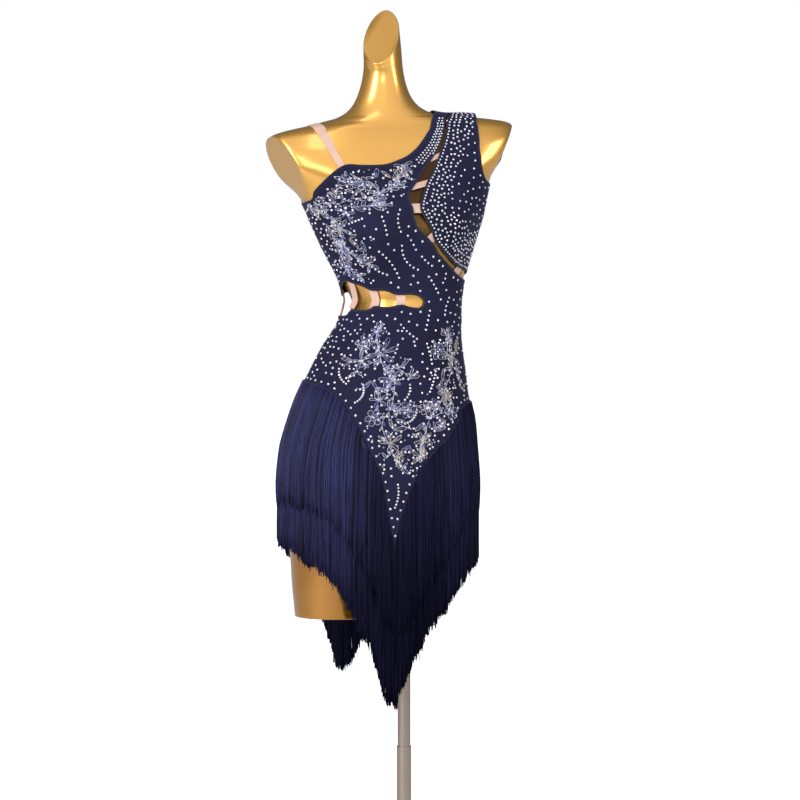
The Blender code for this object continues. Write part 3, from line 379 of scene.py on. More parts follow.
Chain = namedtuple("Chain", "px py to_px to_py bend count")  # a short curved row of stones
CHAINS = rows_of(Chain, [
    (400, 210, 401, 232, -2.5, 6), (382, 217, 387, 235, 0.5, 5), (408, 236, 416, 250, 0.5, 4),
    (402, 246, 418, 270, -5.0, 8), (422, 257, 432, 266, -0.5, 4), (379, 252, 399, 278, 2.5, 8),
    (372, 267, 387, 275, -1.0, 5), (429, 277, 438, 293, 0.5, 5), (446, 274, 443, 283, 0.8, 3),
    (349, 224, 362, 219, 0.0, 5), (449, 298, 445, 315, -0.8, 5), (430, 311, 426, 330, 0.0, 5),
    (401, 325, 417, 339, -1.0, 6), (398, 331, 415, 346, 5.0, 8), (398, 345, 391, 361, 1.0, 5),
    (339, 369, 346, 384, -2.5, 7), (363, 385, 355, 403, 4.0, 9), (410, 385, 405, 400, 2.0, 6),
    (388, 387, 387, 398, 0.0, 4), (427, 344, 432, 364, 0.5, 6), (435, 375, 430, 392, 0.5, 6),
    (417, 410, 405, 424, 3.0, 8), (429, 436, 430, 449, 0.0, 4), (398, 485, 395, 508, 1.8, 8),
])

Motif = namedtuple("Motif", "kind px py heading size tone")  # heading in degrees, size in millimetres
MOTIFS = rows_of(Motif, [
    # along the neckline, from the left armpit
    ("leaf", 311, 203, 118, 17, 0), ("flower", 319, 211, 20, 12, 0), ("leaf", 327, 197, 128, 21, 1),
    ("leaf", 333, 204, 80, 17, 1), ("flower", 346, 213, 70, 11, 1), ("round", 348, 182, 10, 14, 1),
    ("round", 363, 184, 50, 12, 0), ("leaf", 356, 193, 30, 16, 0), ("flower", 379, 193, 15, 12, 0),
    ("leaf", 376, 178, 62, 15, 1), ("round", 380, 203, 80, 8, 1), ("leaf", 393, 180, 38, 22, 2),
    ("leaf", 400, 187, -8, 16, 0), ("flower", 403, 166, 30, 12, 1), ("leaf", 410, 181, 12, 13, 0),
    ("leaf", 367, 200, -6, 15, 0),
    # down the left side
    ("leaf", 331, 222, -64, 18, 2), ("flower", 341, 229, 40, 13, 0), ("leaf", 349, 239, -55, 15, 2),
    ("leaf", 336, 243, -84, 17, 0), ("flower", 343, 252, 10, 11, 1), ("leaf", 366, 252, 96, 15, 1),
    ("flower", 369, 264, 35, 12, 0), ("leaf", 357, 259, 20, 15, 0), ("flower", 348, 270, 60, 12, 1),
    ("leaf", 358, 275, -70, 12, 0), ("spray", 318, 217, 118, 22, 0), ("spray", 326, 224, -76, 24, 0),
    ("spray", 334, 237, -72, 22, 1), ("spray", 340, 254, -84, 22, 0), ("spray", 352, 272, -60, 16, 1),
    ("spray", 335, 200, 52, 20, 0), ("spray", 352, 208, 8, 24, 1), ("spray", 370, 206, -4, 22, 0),
    ("spray", 388, 190, 28, 22, 0), ("spray", 397, 178, 50, 20, 2),
    # the yoke's left spray
    ("flower", 377, 332, 15, 10, 1), ("flower", 364, 342, 55, 10, 1), ("flower", 381, 353, 18, 18, 1),
    ("flower", 361, 361, 35, 12, 0), ("leaf", 352, 361, 172, 15, 0), ("leaf", 357, 371, -124, 13, 0),
    ("leaf", 371, 381, -118, 15, 1), ("leaf", 377, 387, -82, 17, 0), ("flower", 391, 379, 44, 13, 1),
    ("leaf", 401, 368, 58, 14, 0), ("leaf", 409, 378, 12, 14, 0), ("flower", 379, 400, 30, 10, 1),
    ("round", 374, 418, 15, 12, 0), ("leaf", 389, 410, 28, 17, 0), ("round", 408, 410, 65, 12, 1),
    ("leaf", 396, 420, -22, 20, 0), ("leaf", 393, 430, 8, 18, 0), ("flower", 391, 443, 35, 13, 2),
    ("leaf", 381, 452, -132, 15, 0), ("leaf", 396, 460, -62, 15, 2), ("leaf", 402, 468, -45, 11, 1),
    ("spray", 376, 334, 96, 14, 0), ("spray", 370, 350, 150, 20, 0), ("spray", 384, 392, 64, 20, 1),
    ("spray", 397, 450, -70, 18, 2),
    # the yoke's right spray
    ("flower", 448, 336, 25, 11, 0), ("round", 438, 352, 0, 12, 0), ("flower", 452, 357, 42, 14, 2),
    ("leaf", 443, 369, -96, 15, 0), ("leaf", 456, 373, -58, 15, 2), ("leaf", 441, 381, -104, 15, 1),
    ("leaf", 459, 385, -38, 13, 2), ("flower", 446, 396, 20, 12, 2), ("round", 427, 409, 45, 11, 0),
    ("leaf", 438, 404, -150, 15, 0), ("round", 451, 411, 10, 12, 0), ("leaf", 424, 423, -135, 15, 0),
    ("leaf", 436, 431, 20, 15, 0), ("flower", 423, 441, 48, 12, 2), ("leaf", 410, 446, -148, 13, 1),
    ("flower", 420, 457, 12, 11, 2), ("leaf", 417, 466, -95, 12, 0), ("spray", 450, 346, 104, 20, 0),
    ("spray", 455, 352, 62, 18, 2), ("spray", 447, 388, -108, 20, 2), ("spray", 440, 402, 200, 20, 1),
    ("spray", 446, 420, -150, 18, 0), ("spray", 425, 448, -110, 16, 2),
])
STEMS = [  # cords that join the motifs, by the photograph's pixels
    [(313, 206), (325, 203), (338, 204), (352, 199), (367, 198), (381, 193), (396, 182), (409, 170)],
    [(322, 208), (331, 219), (340, 231), (344, 246), (350, 260), (348, 274)],
    [(344, 246), (354, 256), (366, 262)],
    [(377, 333), (379, 352), (384, 368), (394, 378), (394, 394), (390, 410), (382, 424), (388, 444)],
    [(379, 360), (370, 364), (360, 368)],
    [(384, 368), (400, 370), (409, 378)],
    [(390, 410), (400, 411), (410, 409)],
    [(388, 444), (394, 456), (401, 466)],
    [(448, 337), (447, 354), (451, 370), (446, 386), (441, 402), (430, 418), (424, 438), (419, 462)],
    [(447, 354), (456, 366), (461, 384)],
    [(430, 418), (440, 414), (451, 411)],
]
# On the back, motifs lie at both sides of these lines of angle and rise.
BACK_SPRAYS = [
    [(150, 1326), (160, 1296), (176, 1268), (196, 1250), (218, 1238), (234, 1222)],
    [(188, 1030), (182, 990), (190, 950), (184, 912), (193, 876)],
    [(150, 1010), (158, 972), (166, 936), (176, 900)],
]
BACK_ART = {
    "kinds": ("flower", "leaf", "round", "leaf"),
    "aside": 7.0,
    "turn": 48,
    "size": 13,
    "larger": 3,
    "first": 2,
    "every": 6,
    "nudge": 0.01,
    "chart": 2.2,
}
TONES = 3  # silver, lilac and champagne
# Edge is the least distance of a motif's pieces from a cut edge. Each motif has a leaf and beads beside it.
ART = {"scale": 1.28, "edge": 1.6, "beads": 3, "bead": (0.9, 1.3), "bead_at": (0.7, 1.3), "step": 3.0}
ART_LEAF = {"turn": 35, "size": (0.55, 0.8), "from_leaf": 0.15, "from_flower": 0.75}
CORD = {"radius": 0.37, "stalk": 0.4, "vein": 0.3, "stem": 0.36, "lift": 0.5, "sides": 4}
FILL = {"raised": (0.0, 0.3), "edge": 0.08, "half": 0.3, "middle": 0.36}  # how far out a petal's fill is
PETAL = {
    "points": 14,
    "foot": 0.35,
    "vein_points": 5,
    "vein": (0.12, 0.6),
    "least_veined": 15,
    "curl": 0.12,
    "fill_length": 0.94,
    "fill_width": 0.86,
}
# The shapes below are in parts of the motif's size, and their turns in degrees.
# Each petal's length and turn are random. Flowers over the large size have one petal more.
FLOWER = {
    "petals": 5,
    "large": 20,
    "foot": 0.14,
    "length": (0.86, 1.1),
    "width": 0.42,
    "turn": 5,
    "sharp": 0.8,
}
FLOWER_BEADS = {"count": 6, "ring": 0.17, "radius": 0.75, "middle": 1.5}
ROSE = {"rings": ((1.0, 6), (0.44, 3)), "turn": 35, "foot": 0.3, "length": 0.66, "width": 0.6, "sharp": 0.2}
LEAF = {"width": 0.34, "sharp": 0.3, "bead_at": 1.02, "bead": 0.8}
SPRAY = {
    "bend": 0.25,
    "points": 8,
    "leaves": (0.14, 0.52),
    "leaf": 0.52,
    "shorter": 0.1,
    "turn": 42,
    "less_turn": 6,
    "width": 0.2,
    "tip_at": (0.86, 0.74),
    "tip": (0.4, 0.18),
    "bead": 0.8,
}
STEM_LEAF = {"every": 3, "turn": 42, "length": 8.5, "width": 2.6, "bead": 0.85}

# Four close rows of stones down the neck band, by the photograph's pixels.
BAND_ROWS = [
    [(439, 117), (438, 123), (435, 133), (430, 144), (423, 153), (415, 162)],
    [(442, 117), (441, 123), (437, 133), (433, 144), (426, 154), (418, 164)],
    [(444, 117), (443, 123), (440, 133), (436, 144), (430, 154), (421, 166)],
    [(447, 117), (446, 123), (442, 133), (438, 144), (433, 154)],
]
BAND = {"gap": 6.0, "radius": 1.55, "least": 3.6, "step": 2.0}
# Rows beside the slit; first is the first stone's place in parts of the gap, and loose a random spread.
PanelRow = namedtuple("PanelRow", "aside gap radius first loose")
PANEL_ROWS = rows_of(PanelRow, [
    (4.2, 6.4, 1.6, 0.2, 0.2),
    (9.2, 6.8, 1.8, 0.7, 0.4),
    (14.6, 7.2, 1.9, 0.2, 0.7),
    (20.4, 7.4, 1.9, 0.7, 1.0),
    (26.4, 7.6, 1.9, 0.3, 1.3),
    (32.6, 7.9, 1.9, 0.8, 1.6),
])
# Beyond the rows the stones stay close as far out as this, by rise.
DENSE_REACH = [(1150, 70), (1205, 60), (1245, 38), (1284, 36), (1314, 27), (1371, 27), (1400, 33)]
PANEL_EDGE = {"row": 2.2, "scatter": 3.4}  # the shoulder panel's stones stay this far inside it
PANEL_PACK = 0.8  # stones of neighbouring rows, in parts of the gap
PANEL_SCATTER = {"tries": 9000, "near": 6.6, "far": 12.0, "radius": 1.8}
CHAIN = {"radius": 1.9, "least": 3.2}
SEAM_ROW = {"aside": 6.5, "gap": 15.0, "radius": 1.95, "least": 5.0}  # along the fringed seams
# Stones strewn over the front and the back panel, closer at the front's left side, at its left hip and near
# appliques. Areas are in degrees and rise, and for the appliques in millimetres from their beads.
SCATTER = {"tries": 5200, "edge": 6.0, "radius": 1.95}
SCATTER_GAPS = {"plain": 12.5, "side": 8.0, "hip": 8.5, "art": 5.6}
SCATTER_AREAS = {"side": -56, "hip": -44, "hip_rise": 1072, "art": 9, "clear": 2.6, "band_rise": 1335}
STONE_SIZES = (0.94, 1.06)
DICE = {"stones": 11, "art": 5, "fringe": 23}


# ---- light, floor and camera
ROOM = [  # the room's light, from behind to the camera's side
    (0.0, 0.16),
    (0.25, 0.10),
    (0.5, 0.14),
    (0.68, 0.46),
    (0.85, 0.86),
    (1.0, 1.0),
]
ROOM_FACING = {"ahead": 0.98, "up": 0.2}
FLOOR = {"size": 400.0, "glow": 0.12, "near": 0.6, "far": 1.0, "shade": 0.4, "far_shade": 3}
CAMERA = {"turn": -16.0, "distance": 3.5, "height": 0.93, "aside": -0.0068, "width": 1.36, "clip": 1000}
Light = namedtuple("Light", "name x y z wide tall power aim")
LIGHTS = rows_of(Light, [
    ("key", -2.5, -1.6, 2.15, 0.9, 2.5, 56, 1.3),
    ("front", -1.2, -3.9, 2.1, 1.4, 1.4, 12, 1.1),
    ("fill", 2.3, -1.9, 1.8, 0.7, 1.6, 14, 1.2),
    ("window", -0.15, -1.1, 3.1, 0.34, 1.3, 2.2, 1.39),
])
# Where the lacquer shows through an opening in deep shade: marks of the fitting view and levels along them.
SHELTER = {"back": 20, "step": 4.0}
Shelter = namedtuple("Shelter", "marks levels width soft")
SHELTERS = rows_of(Shelter, [
    ([(75, 1400), (71, 1385), (64, 1367), (55, 1345), (43, 1322)], [0.93, 0.95], 19.0, 9.0),
    ([(43, 1322), (30, 1299), (19, 1271), (22, 1255), (36, 1221)], [0.95, 0.96, 0.9, 0.8], 19.0, 9.0),
    ([(36, 1221), (56, 1191), (95, 1156)], [0.8, 0.6, 0.55], 19.0, 9.0),
    ([(-100, 1096), (-84, 1096), (-66, 1096), (-52, 1096)], [0.8, 0.55, 0.3, 0.0], 22.0, 12.0),
])


# ---- smooth tables
class Table:
    """Rows of numbers read as smooth curves of their first column, which never overshoot the rows."""

    def __init__(self, rows):
        self.kind = type(rows[0])
        self.rows = np.array(rows, float)
        self.keys = self.rows[:, 0]
        steps = np.diff(self.rows, axis=0) / np.diff(self.keys)[:, None]
        a, b = steps[:-1], steps[1:]
        same = a * b > 0
        inner = np.where(same, 2 * a * b / np.where(same, a + b, 1.0), 0.0)
        self.slopes = np.vstack([steps[:1], inner, steps[-1:]])

    def at(self, key):
        key = np.clip(np.asarray(key, float), self.keys[0], self.keys[-1])
        i = np.clip(np.searchsorted(self.keys, key, side="right") - 1, 0, len(self.keys) - 2)
        span = self.keys[i + 1] - self.keys[i]
        t = (key - self.keys[i]) / span
        rise, hold = t * t * (3 - 2 * t), span * t * (1 - t)
        ends = self.rows[i] * (1 - rise)[..., None] + self.rows[i + 1] * rise[..., None]
        bend = (1 - t)[..., None] * self.slopes[i] - t[..., None] * self.slopes[i + 1]
        return self.kind(*np.moveaxis(ends + hold[..., None] * bend, -1, 0))


FIGURE_TABLE = Table(FIGURE)
CLOTH_TABLE = Table(SKIRT + [row for row in FIGURE if row.rise > HIP_RISE])
HEM_TABLE = Table(HEMS)


# ---- the surface
# Steps over which the surface's directions and slopes are taken, and the least millimetres of a degree and of
# rise.
NORMAL_STEP = Spot(0.6, 2.0)
SLOPE_STEP = Spot(0.5, 1.0)
LEAST_SLOPE = Spot(0.2, 0.1)


def wrap(angle):
    """The same angle between -180 and 180."""
    return (angle + 180.0) % 360.0 - 180.0


def bell(value, centre, width):
    return np.exp(-(((value - centre) / width) ** 2))


def unit(vectors):
    return vectors / np.maximum(np.linalg.norm(vectors, axis=-1, keepdims=True), 1e-12)


def swell(shape, angle, rise):
    """How far a pair of soft mounds, one each side of the figure, stands out."""
    sides = bell(np.abs(wrap(angle)), shape["angle"], shape["wide"])
    return shape["depth"] * sides * bell(rise, shape["rise"], shape["tall"])


def ring_points(section, angle, out_y):
    """Points of the figure's rings."""
    turn = np.radians(angle)
    s, c = np.sin(turn), np.cos(turn)
    boxy = (np.abs(s) ** section.square + np.abs(c) ** section.square) ** (-1 / section.square)
    k = section.cleft
    parted = (k * np.abs(s) + np.sqrt(np.maximum(0.0, 1 - (k * c) ** 2))) / (1 + k)
    depth = np.where(c > 0, section.front, section.back)
    x = section.half_width * boxy * parted * s
    y = -depth * (1 + k) * boxy * parted * c - out_y * np.where(c > 0, 1.0, -1.0)
    pitch, roll, spin = (np.radians(v) for v in (section.pitch, section.roll, section.turn))
    y, z = y * np.cos(pitch), y * np.sin(pitch)
    x, z = x * np.cos(roll) - z * np.sin(roll), x * np.sin(roll) + z * np.cos(roll)
    x, y = x * np.cos(spin) - y * np.sin(spin), x * np.sin(spin) + y * np.cos(spin)
    return np.stack([section.x + x, section.y + y, section.z + z], axis=-1)


def figure_points(angle, rise):
    out_y = swell(BUST, angle, rise) + swell(SEAT, angle, rise)
    return ring_points(FIGURE_TABLE.at(rise), angle, out_y)


def worn_points(angle, rise):
    """The figure as the cloth meets it: below the hip it falls straight down."""
    out_y = swell(BUST, angle, rise) + swell(SEAT, angle, np.maximum(rise, SEAT["rise"]))
    return ring_points(CLOTH_TABLE.at(rise), angle, out_y)


def stand_off(angle, rise):
    """How far the taut cloth bridges a hollow, and how far it drags."""
    total = sum(
        row.depth * bell(wrap(angle - row.angle), 0, row.wide) * bell(rise, row.rise, row.tall)
        for row in BRIDGES
    )
    wave = 0.5 + 0.5 * np.sin(np.radians(DRAG["folds"] * angle) + rise / DRAG["lean"])
    return total + DRAG["depth"] * wave * bell(rise, DRAG["rise"], DRAG["tall"])


def normals_of(points_at, angle, rise):
    """Directions out of a surface of angle and rise."""
    along = points_at(angle + NORMAL_STEP.angle, rise) - points_at(angle - NORMAL_STEP.angle, rise)
    up = points_at(angle, rise + NORMAL_STEP.rise) - points_at(angle, rise - NORMAL_STEP.rise)
    return unit(np.cross(along, up))


def worn_normals(angle, rise):
    return normals_of(worn_points, angle, rise)


def cloth_points(angle, rise, out):
    """Points this far out from the figure's surface, on the cloth's own form."""
    angle, rise, out = np.broadcast_arrays(*(np.asarray(v, float) for v in (angle, rise, out)))
    lift = out + stand_off(angle, rise)
    return worn_points(angle, rise) + worn_normals(angle, rise) * lift[..., None]


def on_cloth(spots, lift=0.0):
    """Points this far out from the cloth's outside, over its plain form."""
    return cloth_points(spots[..., 0], spots[..., 1], CLOTH_OUTSIDE + lift)


def steps_at(angle, rise):
    """Millimetres for one degree, and for one of rise."""
    turn, climb = SLOPE_STEP
    along = np.linalg.norm(worn_points(angle + turn, rise) - worn_points(angle - turn, rise), axis=-1)
    up = np.linalg.norm(worn_points(angle, rise + climb) - worn_points(angle, rise - climb), axis=-1)
    along, up = along / (2 * turn), up / (2 * climb)
    return np.maximum(along, LEAST_SLOPE.angle), np.maximum(up, LEAST_SLOPE.rise)


# ---- the fitting view
def seen(angle, rise):
    """The mark of the fitting view at which each place of the cloth shows."""
    point = cloth_points(angle, rise, CLOTH_OUTSIDE)
    turn = math.radians(VIEW["turn"])
    x, y, z = point[..., 0], point[..., 1], point[..., 2]
    across = x * math.cos(turn) + y * math.sin(turn)
    deep = -x * math.sin(turn) + y * math.cos(turn)
    shrink = VIEW["distance"] / (VIEW["distance"] + deep)
    shown = (across + VIEW["aside"]) * shrink - VIEW["aside"], (z - VIEW["height"]) * shrink + VIEW["height"]
    return np.stack(shown, axis=-1)


# The search for a mark's place starts at the nearest of these, and moves by part of the miss each time.
GUESS = {"angles": (-104.0, 76, 6), "rises": (600.0, 1540, 15)}
SEARCH = {"rounds": 14, "pull": 0.7, "low": -112.0, "high": 80.0, "flat": 1e-3}
GUESS_ANGLES, GUESS_RISES = (
    grid.ravel() for grid in np.meshgrid(*(np.arange(*span) for span in GUESS.values()), indexing="ij")
)
GUESSES = seen(GUESS_ANGLES, GUESS_RISES)


def spots_of(marks):
    """The places on the figure that show at these marks of the fitting view, as rows of angle and rise."""
    aims = np.array([tuple(mark) for mark in marks], float)
    held = np.array([isinstance(mark, Spot) for mark in marks])
    near = np.argmin(((GUESSES[None] - aims[:, None]) ** 2).sum(-1), axis=1)
    angle, rise = GUESS_ANGLES[near], GUESS_RISES[near]
    for _ in range(SEARCH["rounds"]):
        here = seen(angle, rise)
        by_angle = (seen(angle + SLOPE_STEP.angle, rise) - here) / SLOPE_STEP.angle
        by_rise = (seen(angle, rise + SLOPE_STEP.rise) - here) / SLOPE_STEP.rise
        size = by_angle[:, 0] * by_rise[:, 1] - by_angle[:, 1] * by_rise[:, 0]
        size = np.where(np.abs(size) < SEARCH["flat"], np.inf, size)
        miss = aims - here
        angle = angle + SEARCH["pull"] * (miss[:, 0] * by_rise[:, 1] - miss[:, 1] * by_rise[:, 0]) / size
        rise = rise + SEARCH["pull"] * (by_angle[:, 0] * miss[:, 1] - by_angle[:, 1] * miss[:, 0]) / size
        angle = np.clip(angle, SEARCH["low"], SEARCH["high"])
    return np.where(held[:, None], aims, np.stack([angle, rise], axis=-1))


def lengths_of(places):
    """How far along the line each of its places is."""
    return np.concatenate([[0.0], np.cumsum(np.linalg.norm(np.diff(places, axis=0), axis=1))])


def spots_at(want, lengths, line):
    """The spots at these lengths along the line."""
    return np.stack([np.interp(want, lengths, line[:, n]) for n in range(2)], axis=-1)


def even(dense, step):
    """Spots at even steps along a dense line of spots."""
    lengths = lengths_of(on_cloth(dense))
    count = max(1, round(lengths[-1] / step))
    return spots_at(np.linspace(0, lengths[-1], count + 1), lengths, dense)


def curve(marks, step):
    """Spots at even steps along a smooth curve through the marks."""
    spots = spots_of(marks)
    spots = np.vstack([2 * spots[0] - spots[1], spots, 2 * spots[-1] - spots[-2]])
    t = (np.arange(CURVE_PARTS) / CURVE_PARTS)[:, None]
    dense = []
    for p0, p1, p2, p3 in zip(spots, spots[1:], spots[2:], spots[3:]):
        bend = (p2 - p0) * t + (2 * p0 - 5 * p1 + 4 * p2 - p3) * t**2 + (3 * p1 - p0 - 3 * p2 + p3) * t**3
        dense.append(0.5 * (2 * p1 + bend))
    return even(np.vstack([*dense, spots[-2:-1]]), step)


def over_shoulder(name):
    """Spots up to the top of the shoulder, at a steadily changing distance from the pole."""
    crossing = CROSSINGS[name]
    sign = 1 if crossing.top > 0 else -1
    low, high = SHOULDER_WIDEST, SHOULDER_STEPS["high"]
    for _ in range(SHOULDER_STEPS["halvings"]):
        top = (low + high) / 2
        if sign * worn_points(np.array(90.0 * sign), np.array(top))[0] > sign * crossing.top:
            low = top
        else:
            high = top
    count = SHOULDER_STEPS["spots"]
    part = np.sin(np.radians(90 * np.arange(count) / count))
    rises = CROSSING_START + (top - CROSSING_START) * part
    aim = crossing.low + (crossing.top - crossing.low) * part
    near, far = np.zeros(count), np.full(count, 90.0)
    for _ in range(SHOULDER_STEPS["halvings"]):
        angle = (near + far) / 2
        short = sign * worn_points(angle * sign, rises)[:, 0] < sign * aim
        near, far = np.where(short, angle, near), np.where(short, far, angle)
    return [*(Spot(a * sign, r) for a, r in zip(angle, rises)), Spot(90.0 * sign, top)]


def behind(spots):
    """The same spots carried straight over to the back."""
    return [Spot((180 if spot[0] > 0 else -180) - spot[0], spot[1]) for spot in spots]


def carried(spots, start, end, fall):
    """An edge carried round to the back: its two ends come to these angles."""
    part = (spots[:, 0] - spots[0, 0]) / (spots[-1, 0] - spots[0, 0])
    top = max(spots[0, 1], spots[-1, 1])
    return np.stack([start + part * (end - start), top - (top - spots[:, 1]) * fall], axis=-1)


def leftward(path):
    """A millimetre to the left at each spot of a path, and the millimetres of a degree and of rise there."""
    scale = np.stack(steps_at(path[:, 0], path[:, 1]), axis=-1)
    ahead = np.gradient(path, axis=0) * scale
    return unit(np.stack([-ahead[:, 1], ahead[:, 0]], axis=-1)), scale


def offset(path, aside):
    """The path moved sideways by this many millimetres, to its left."""
    left, scale = leftward(path)
    return path + left * aside / scale


# ---- meshes
BODY = "dressed_form"


def new_object(name, data):
    made = bpy.data.objects.new(name, data)
    bpy.context.scene.collection.objects.link(made)
    return made


def add(name, points, faces, look, slot, smooth=True):
    """A finished piece of the dressed form. Points are in millimetres."""
    mesh = bpy.data.meshes.new(name)
    mesh.from_pydata((np.asarray(points) * MM).tolist(), [], faces)
    mesh.validate()
    if smooth:
        mesh.shade_smooth()
    mesh.materials.append(look)
    piece = new_object(name, mesh)
    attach(piece, BODY)
    return piece


def skin(tubes, rows, sides, looped=False):
    """Faces over rings of points: quads from ring to ring and, unless looped, both ends."""
    index = np.arange(tubes * rows * sides).reshape(tubes, rows, sides)
    here = index if looped else index[:, :-1]
    there = np.roll(index, -1, axis=1) if looped else index[:, 1:]
    quads = np.stack([here, np.roll(here, -1, axis=2), np.roll(there, -1, axis=2), there], axis=-1)
    faces = quads.reshape(-1, 4).tolist()
    if not looped:
        faces += index[:, 0, ::-1].tolist() + index[:, -1].tolist()
    return faces


def sweep(paths, outward, radii, sides, flat=1.0, looped=False):
    """Tubes along many paths at once. Paths and outward are (tube, point, axis).

    Radii are (tube, point), or one number for all.
    """
    if looped:
        ahead = np.roll(paths, -1, axis=1) - np.roll(paths, 1, axis=1)
    else:
        ahead = np.gradient(paths, axis=1)
    aside = unit(np.cross(ahead, outward))
    up = unit(np.cross(aside, ahead))
    turns = 2 * np.pi * np.arange(sides) / sides
    ring = aside[:, :, None] * np.cos(turns)[:, None] + up[:, :, None] * (flat * np.sin(turns))[:, None]
    points = paths[:, :, None] + ring * np.asarray(radii)[..., None, None]
    return points.reshape(-1, 3), skin(*paths.shape[:2], sides, looped)


def joined(parts):
    """Several lots of points and faces as one."""
    points, faces = [], []
    count = 0
    for some, ring in parts:
        points.append(some)
        faces += [tuple(n + count for n in face) for face in ring]
        count += len(some)
    return np.vstack(points), faces


# ---- pattern edges
def pattern_edges(step):
    """Every edge of the pattern, front and back, as rows of angle and rise."""
    left, right, rise = SIDE_SEAM["left"], SIDE_SEAM["right"], SIDE_RISE
    found = {
        "neckline": curve([Spot(left, rise["armpit"]), *NECKLINE, *over_shoulder("neck")], step),
        "slit_front": curve(
            [*reversed(over_shoulder("band")), *SLIT_FRONT_EDGE, Spot(right, rise["slit_lower"])], step
        ),
        "slit_side": curve(
            [*reversed(over_shoulder("panel")), *SLIT_SIDE_EDGE, Spot(right, rise["slit_upper"])], step
        ),
        "armhole": curve([*reversed(over_shoulder("arm")), *ARMHOLE, Spot(right, rise["armhole"])], step),
        "opening": curve(
            [Spot(left, rise["opening_lower"]), *reversed(OPENING_LOWER_EDGE)]
            + [*reversed(OPENING_UPPER_EDGE), Spot(left, rise["opening_upper"])],
            step,
        ),
        "yoke_left": curve([Spot(left, rise["yoke_left"]), *YOKE_LEFT_EDGE, YOKE_TIP], step),
        "yoke_right": curve([YOKE_TIP, *YOKE_RIGHT_EDGE, Spot(right, rise["yoke_right"])], step),
    }
    tip = BACK_YOKE_TIP
    found["back_yoke_left"] = carried(found["yoke_left"], left, tip, BACK_FALL)
    depth = rise["yoke_right"] - found["back_yoke_left"][-1, 1]
    fall = depth / (rise["yoke_right"] - found["yoke_right"][0, 1])
    found["back_yoke_right"] = carried(found["yoke_right"], tip + 360, right, fall)

    left, right = left + 360 - SIDE_GAP, right + SIDE_GAP
    end, near, half = BACK_SLIT["end"], BACK_SLIT["end"].angle - BACK_SLIT["angle"], BACK_SLIT["half"]
    turn = [Spot(near, end.rise - half), end, Spot(near, end.rise + half)]
    ends = [Spot(right, rise["slit_lower"]), Spot(right, rise["slit_upper"])]
    found["back_slit"] = curve([ends[0], *turn, ends[1]], step)
    end, near = BACK_OPENING["end"], BACK_OPENING["end"].angle + BACK_OPENING["angle"]
    half, shoulder, wider = BACK_OPENING["half"], left - BACK_OPENING["shoulder"], BACK_OPENING["wider"]
    found["back_opening"] = curve(
        [
            Spot(left, rise["opening_upper"]),
            Spot(shoulder, rise["opening_upper"] + wider),
            Spot(near, end.rise + half),
            end,
            Spot(near, end.rise - half),
            Spot(shoulder, rise["opening_lower"] - wider),
            Spot(left, rise["opening_lower"]),
        ],
        step,
    )
    arm = [Spot(a + SHOULDER_GAP, r) for a, r in behind(over_shoulder("arm"))]
    neck = [Spot(a + SHOULDER_GAP, r) for a, r in behind(over_shoulder("neck"))]
    side = [Spot(right + row.angle, row.rise) for row in BACK_ARMHOLE]
    found["back_armhole"] = curve([Spot(right, rise["armhole"]), *side, *arm], step)
    found["back_neckline"] = curve([*reversed(neck), *BACK_NECKLINE, Spot(left, rise["armpit"])], step)
    return found


def straight(a, b, step):
    """Spots on a straight seam, its ends left out."""
    ends = on_cloth(np.array([a, b]))
    count = max(1, round(np.linalg.norm(ends[1] - ends[0]) / step))
    part = (np.arange(1, count) / count)[:, None]
    return a + (b - a) * part


def loop_of(*parts):
    """Joins edges end to end with straight seams between them."""
    spots = []
    for part, after in zip(parts, parts[1:] + parts[:1]):
        spots += [part, straight(part[-1], after[0], FINE["edge"])]
    return np.vstack(spots)


def panel_loops(edge):
    """The closed outline of each panel."""
    right_yoke = edge["back_yoke_right"].copy()
    right_yoke[-1, 0] = SIDE_SEAM["right"] + SIDE_GAP
    left_yoke = edge["back_yoke_left"] + [360, 0]
    left_yoke[0, 0] = SIDE_SEAM["left"] + 360 - SIDE_GAP
    return {
        "front_panel": loop_of(
            edge["neckline"],
            edge["slit_front"],
            edge["yoke_right"][::-1],
            edge["yoke_left"][::-1][1:],
            edge["opening"],
        ),
        "shoulder_panel": loop_of(edge["slit_side"][::-1], edge["armhole"]),
        "back_panel": loop_of(
            right_yoke,
            edge["back_slit"],
            edge["back_armhole"],
            edge["back_neckline"],
            edge["back_opening"],
            left_yoke[:-1],
        ),
    }


def chart(spots):
    """Spots as points of the flat chart."""
    return spots * [FLAT_DEGREE, 1]


def in_loop(points, loop):
    """Whether each point is inside the loop."""
    a, b = loop, np.roll(loop, -1, axis=0)
    px, py = points[:, :1], points[:, 1:]
    crosses = (a[:, 1] > py) != (b[:, 1] > py)
    drop = np.where(b[:, 1] == a[:, 1], 1.0, b[:, 1] - a[:, 1])
    at = a[:, 0] + (py - a[:, 1]) * (b[:, 0] - a[:, 0]) / drop
    return (crosses & (px < at)).sum(axis=1) % 2 == 1


def nearness(points, line, closed=True):
    """How near each point is to the line."""
    a = line if closed else line[:-1]
    side = (np.roll(line, -1, axis=0) if closed else line[1:]) - a
    away = points[:, None] - a
    t = np.clip((away * side).sum(-1) / np.maximum((side**2).sum(-1), 1e-9), 0, 1)
    return np.linalg.norm(away - side * t[..., None], axis=-1).min(axis=1)


def on_panel(spots, loop, inset=0.0):
    """Whether each spot is inside the panel's outline, and farther than this from it."""
    flat, edge = chart(spots), chart(loop)
    held = in_loop(flat, edge)
    held[held] = nearness(flat[held], edge) > inset
    return held


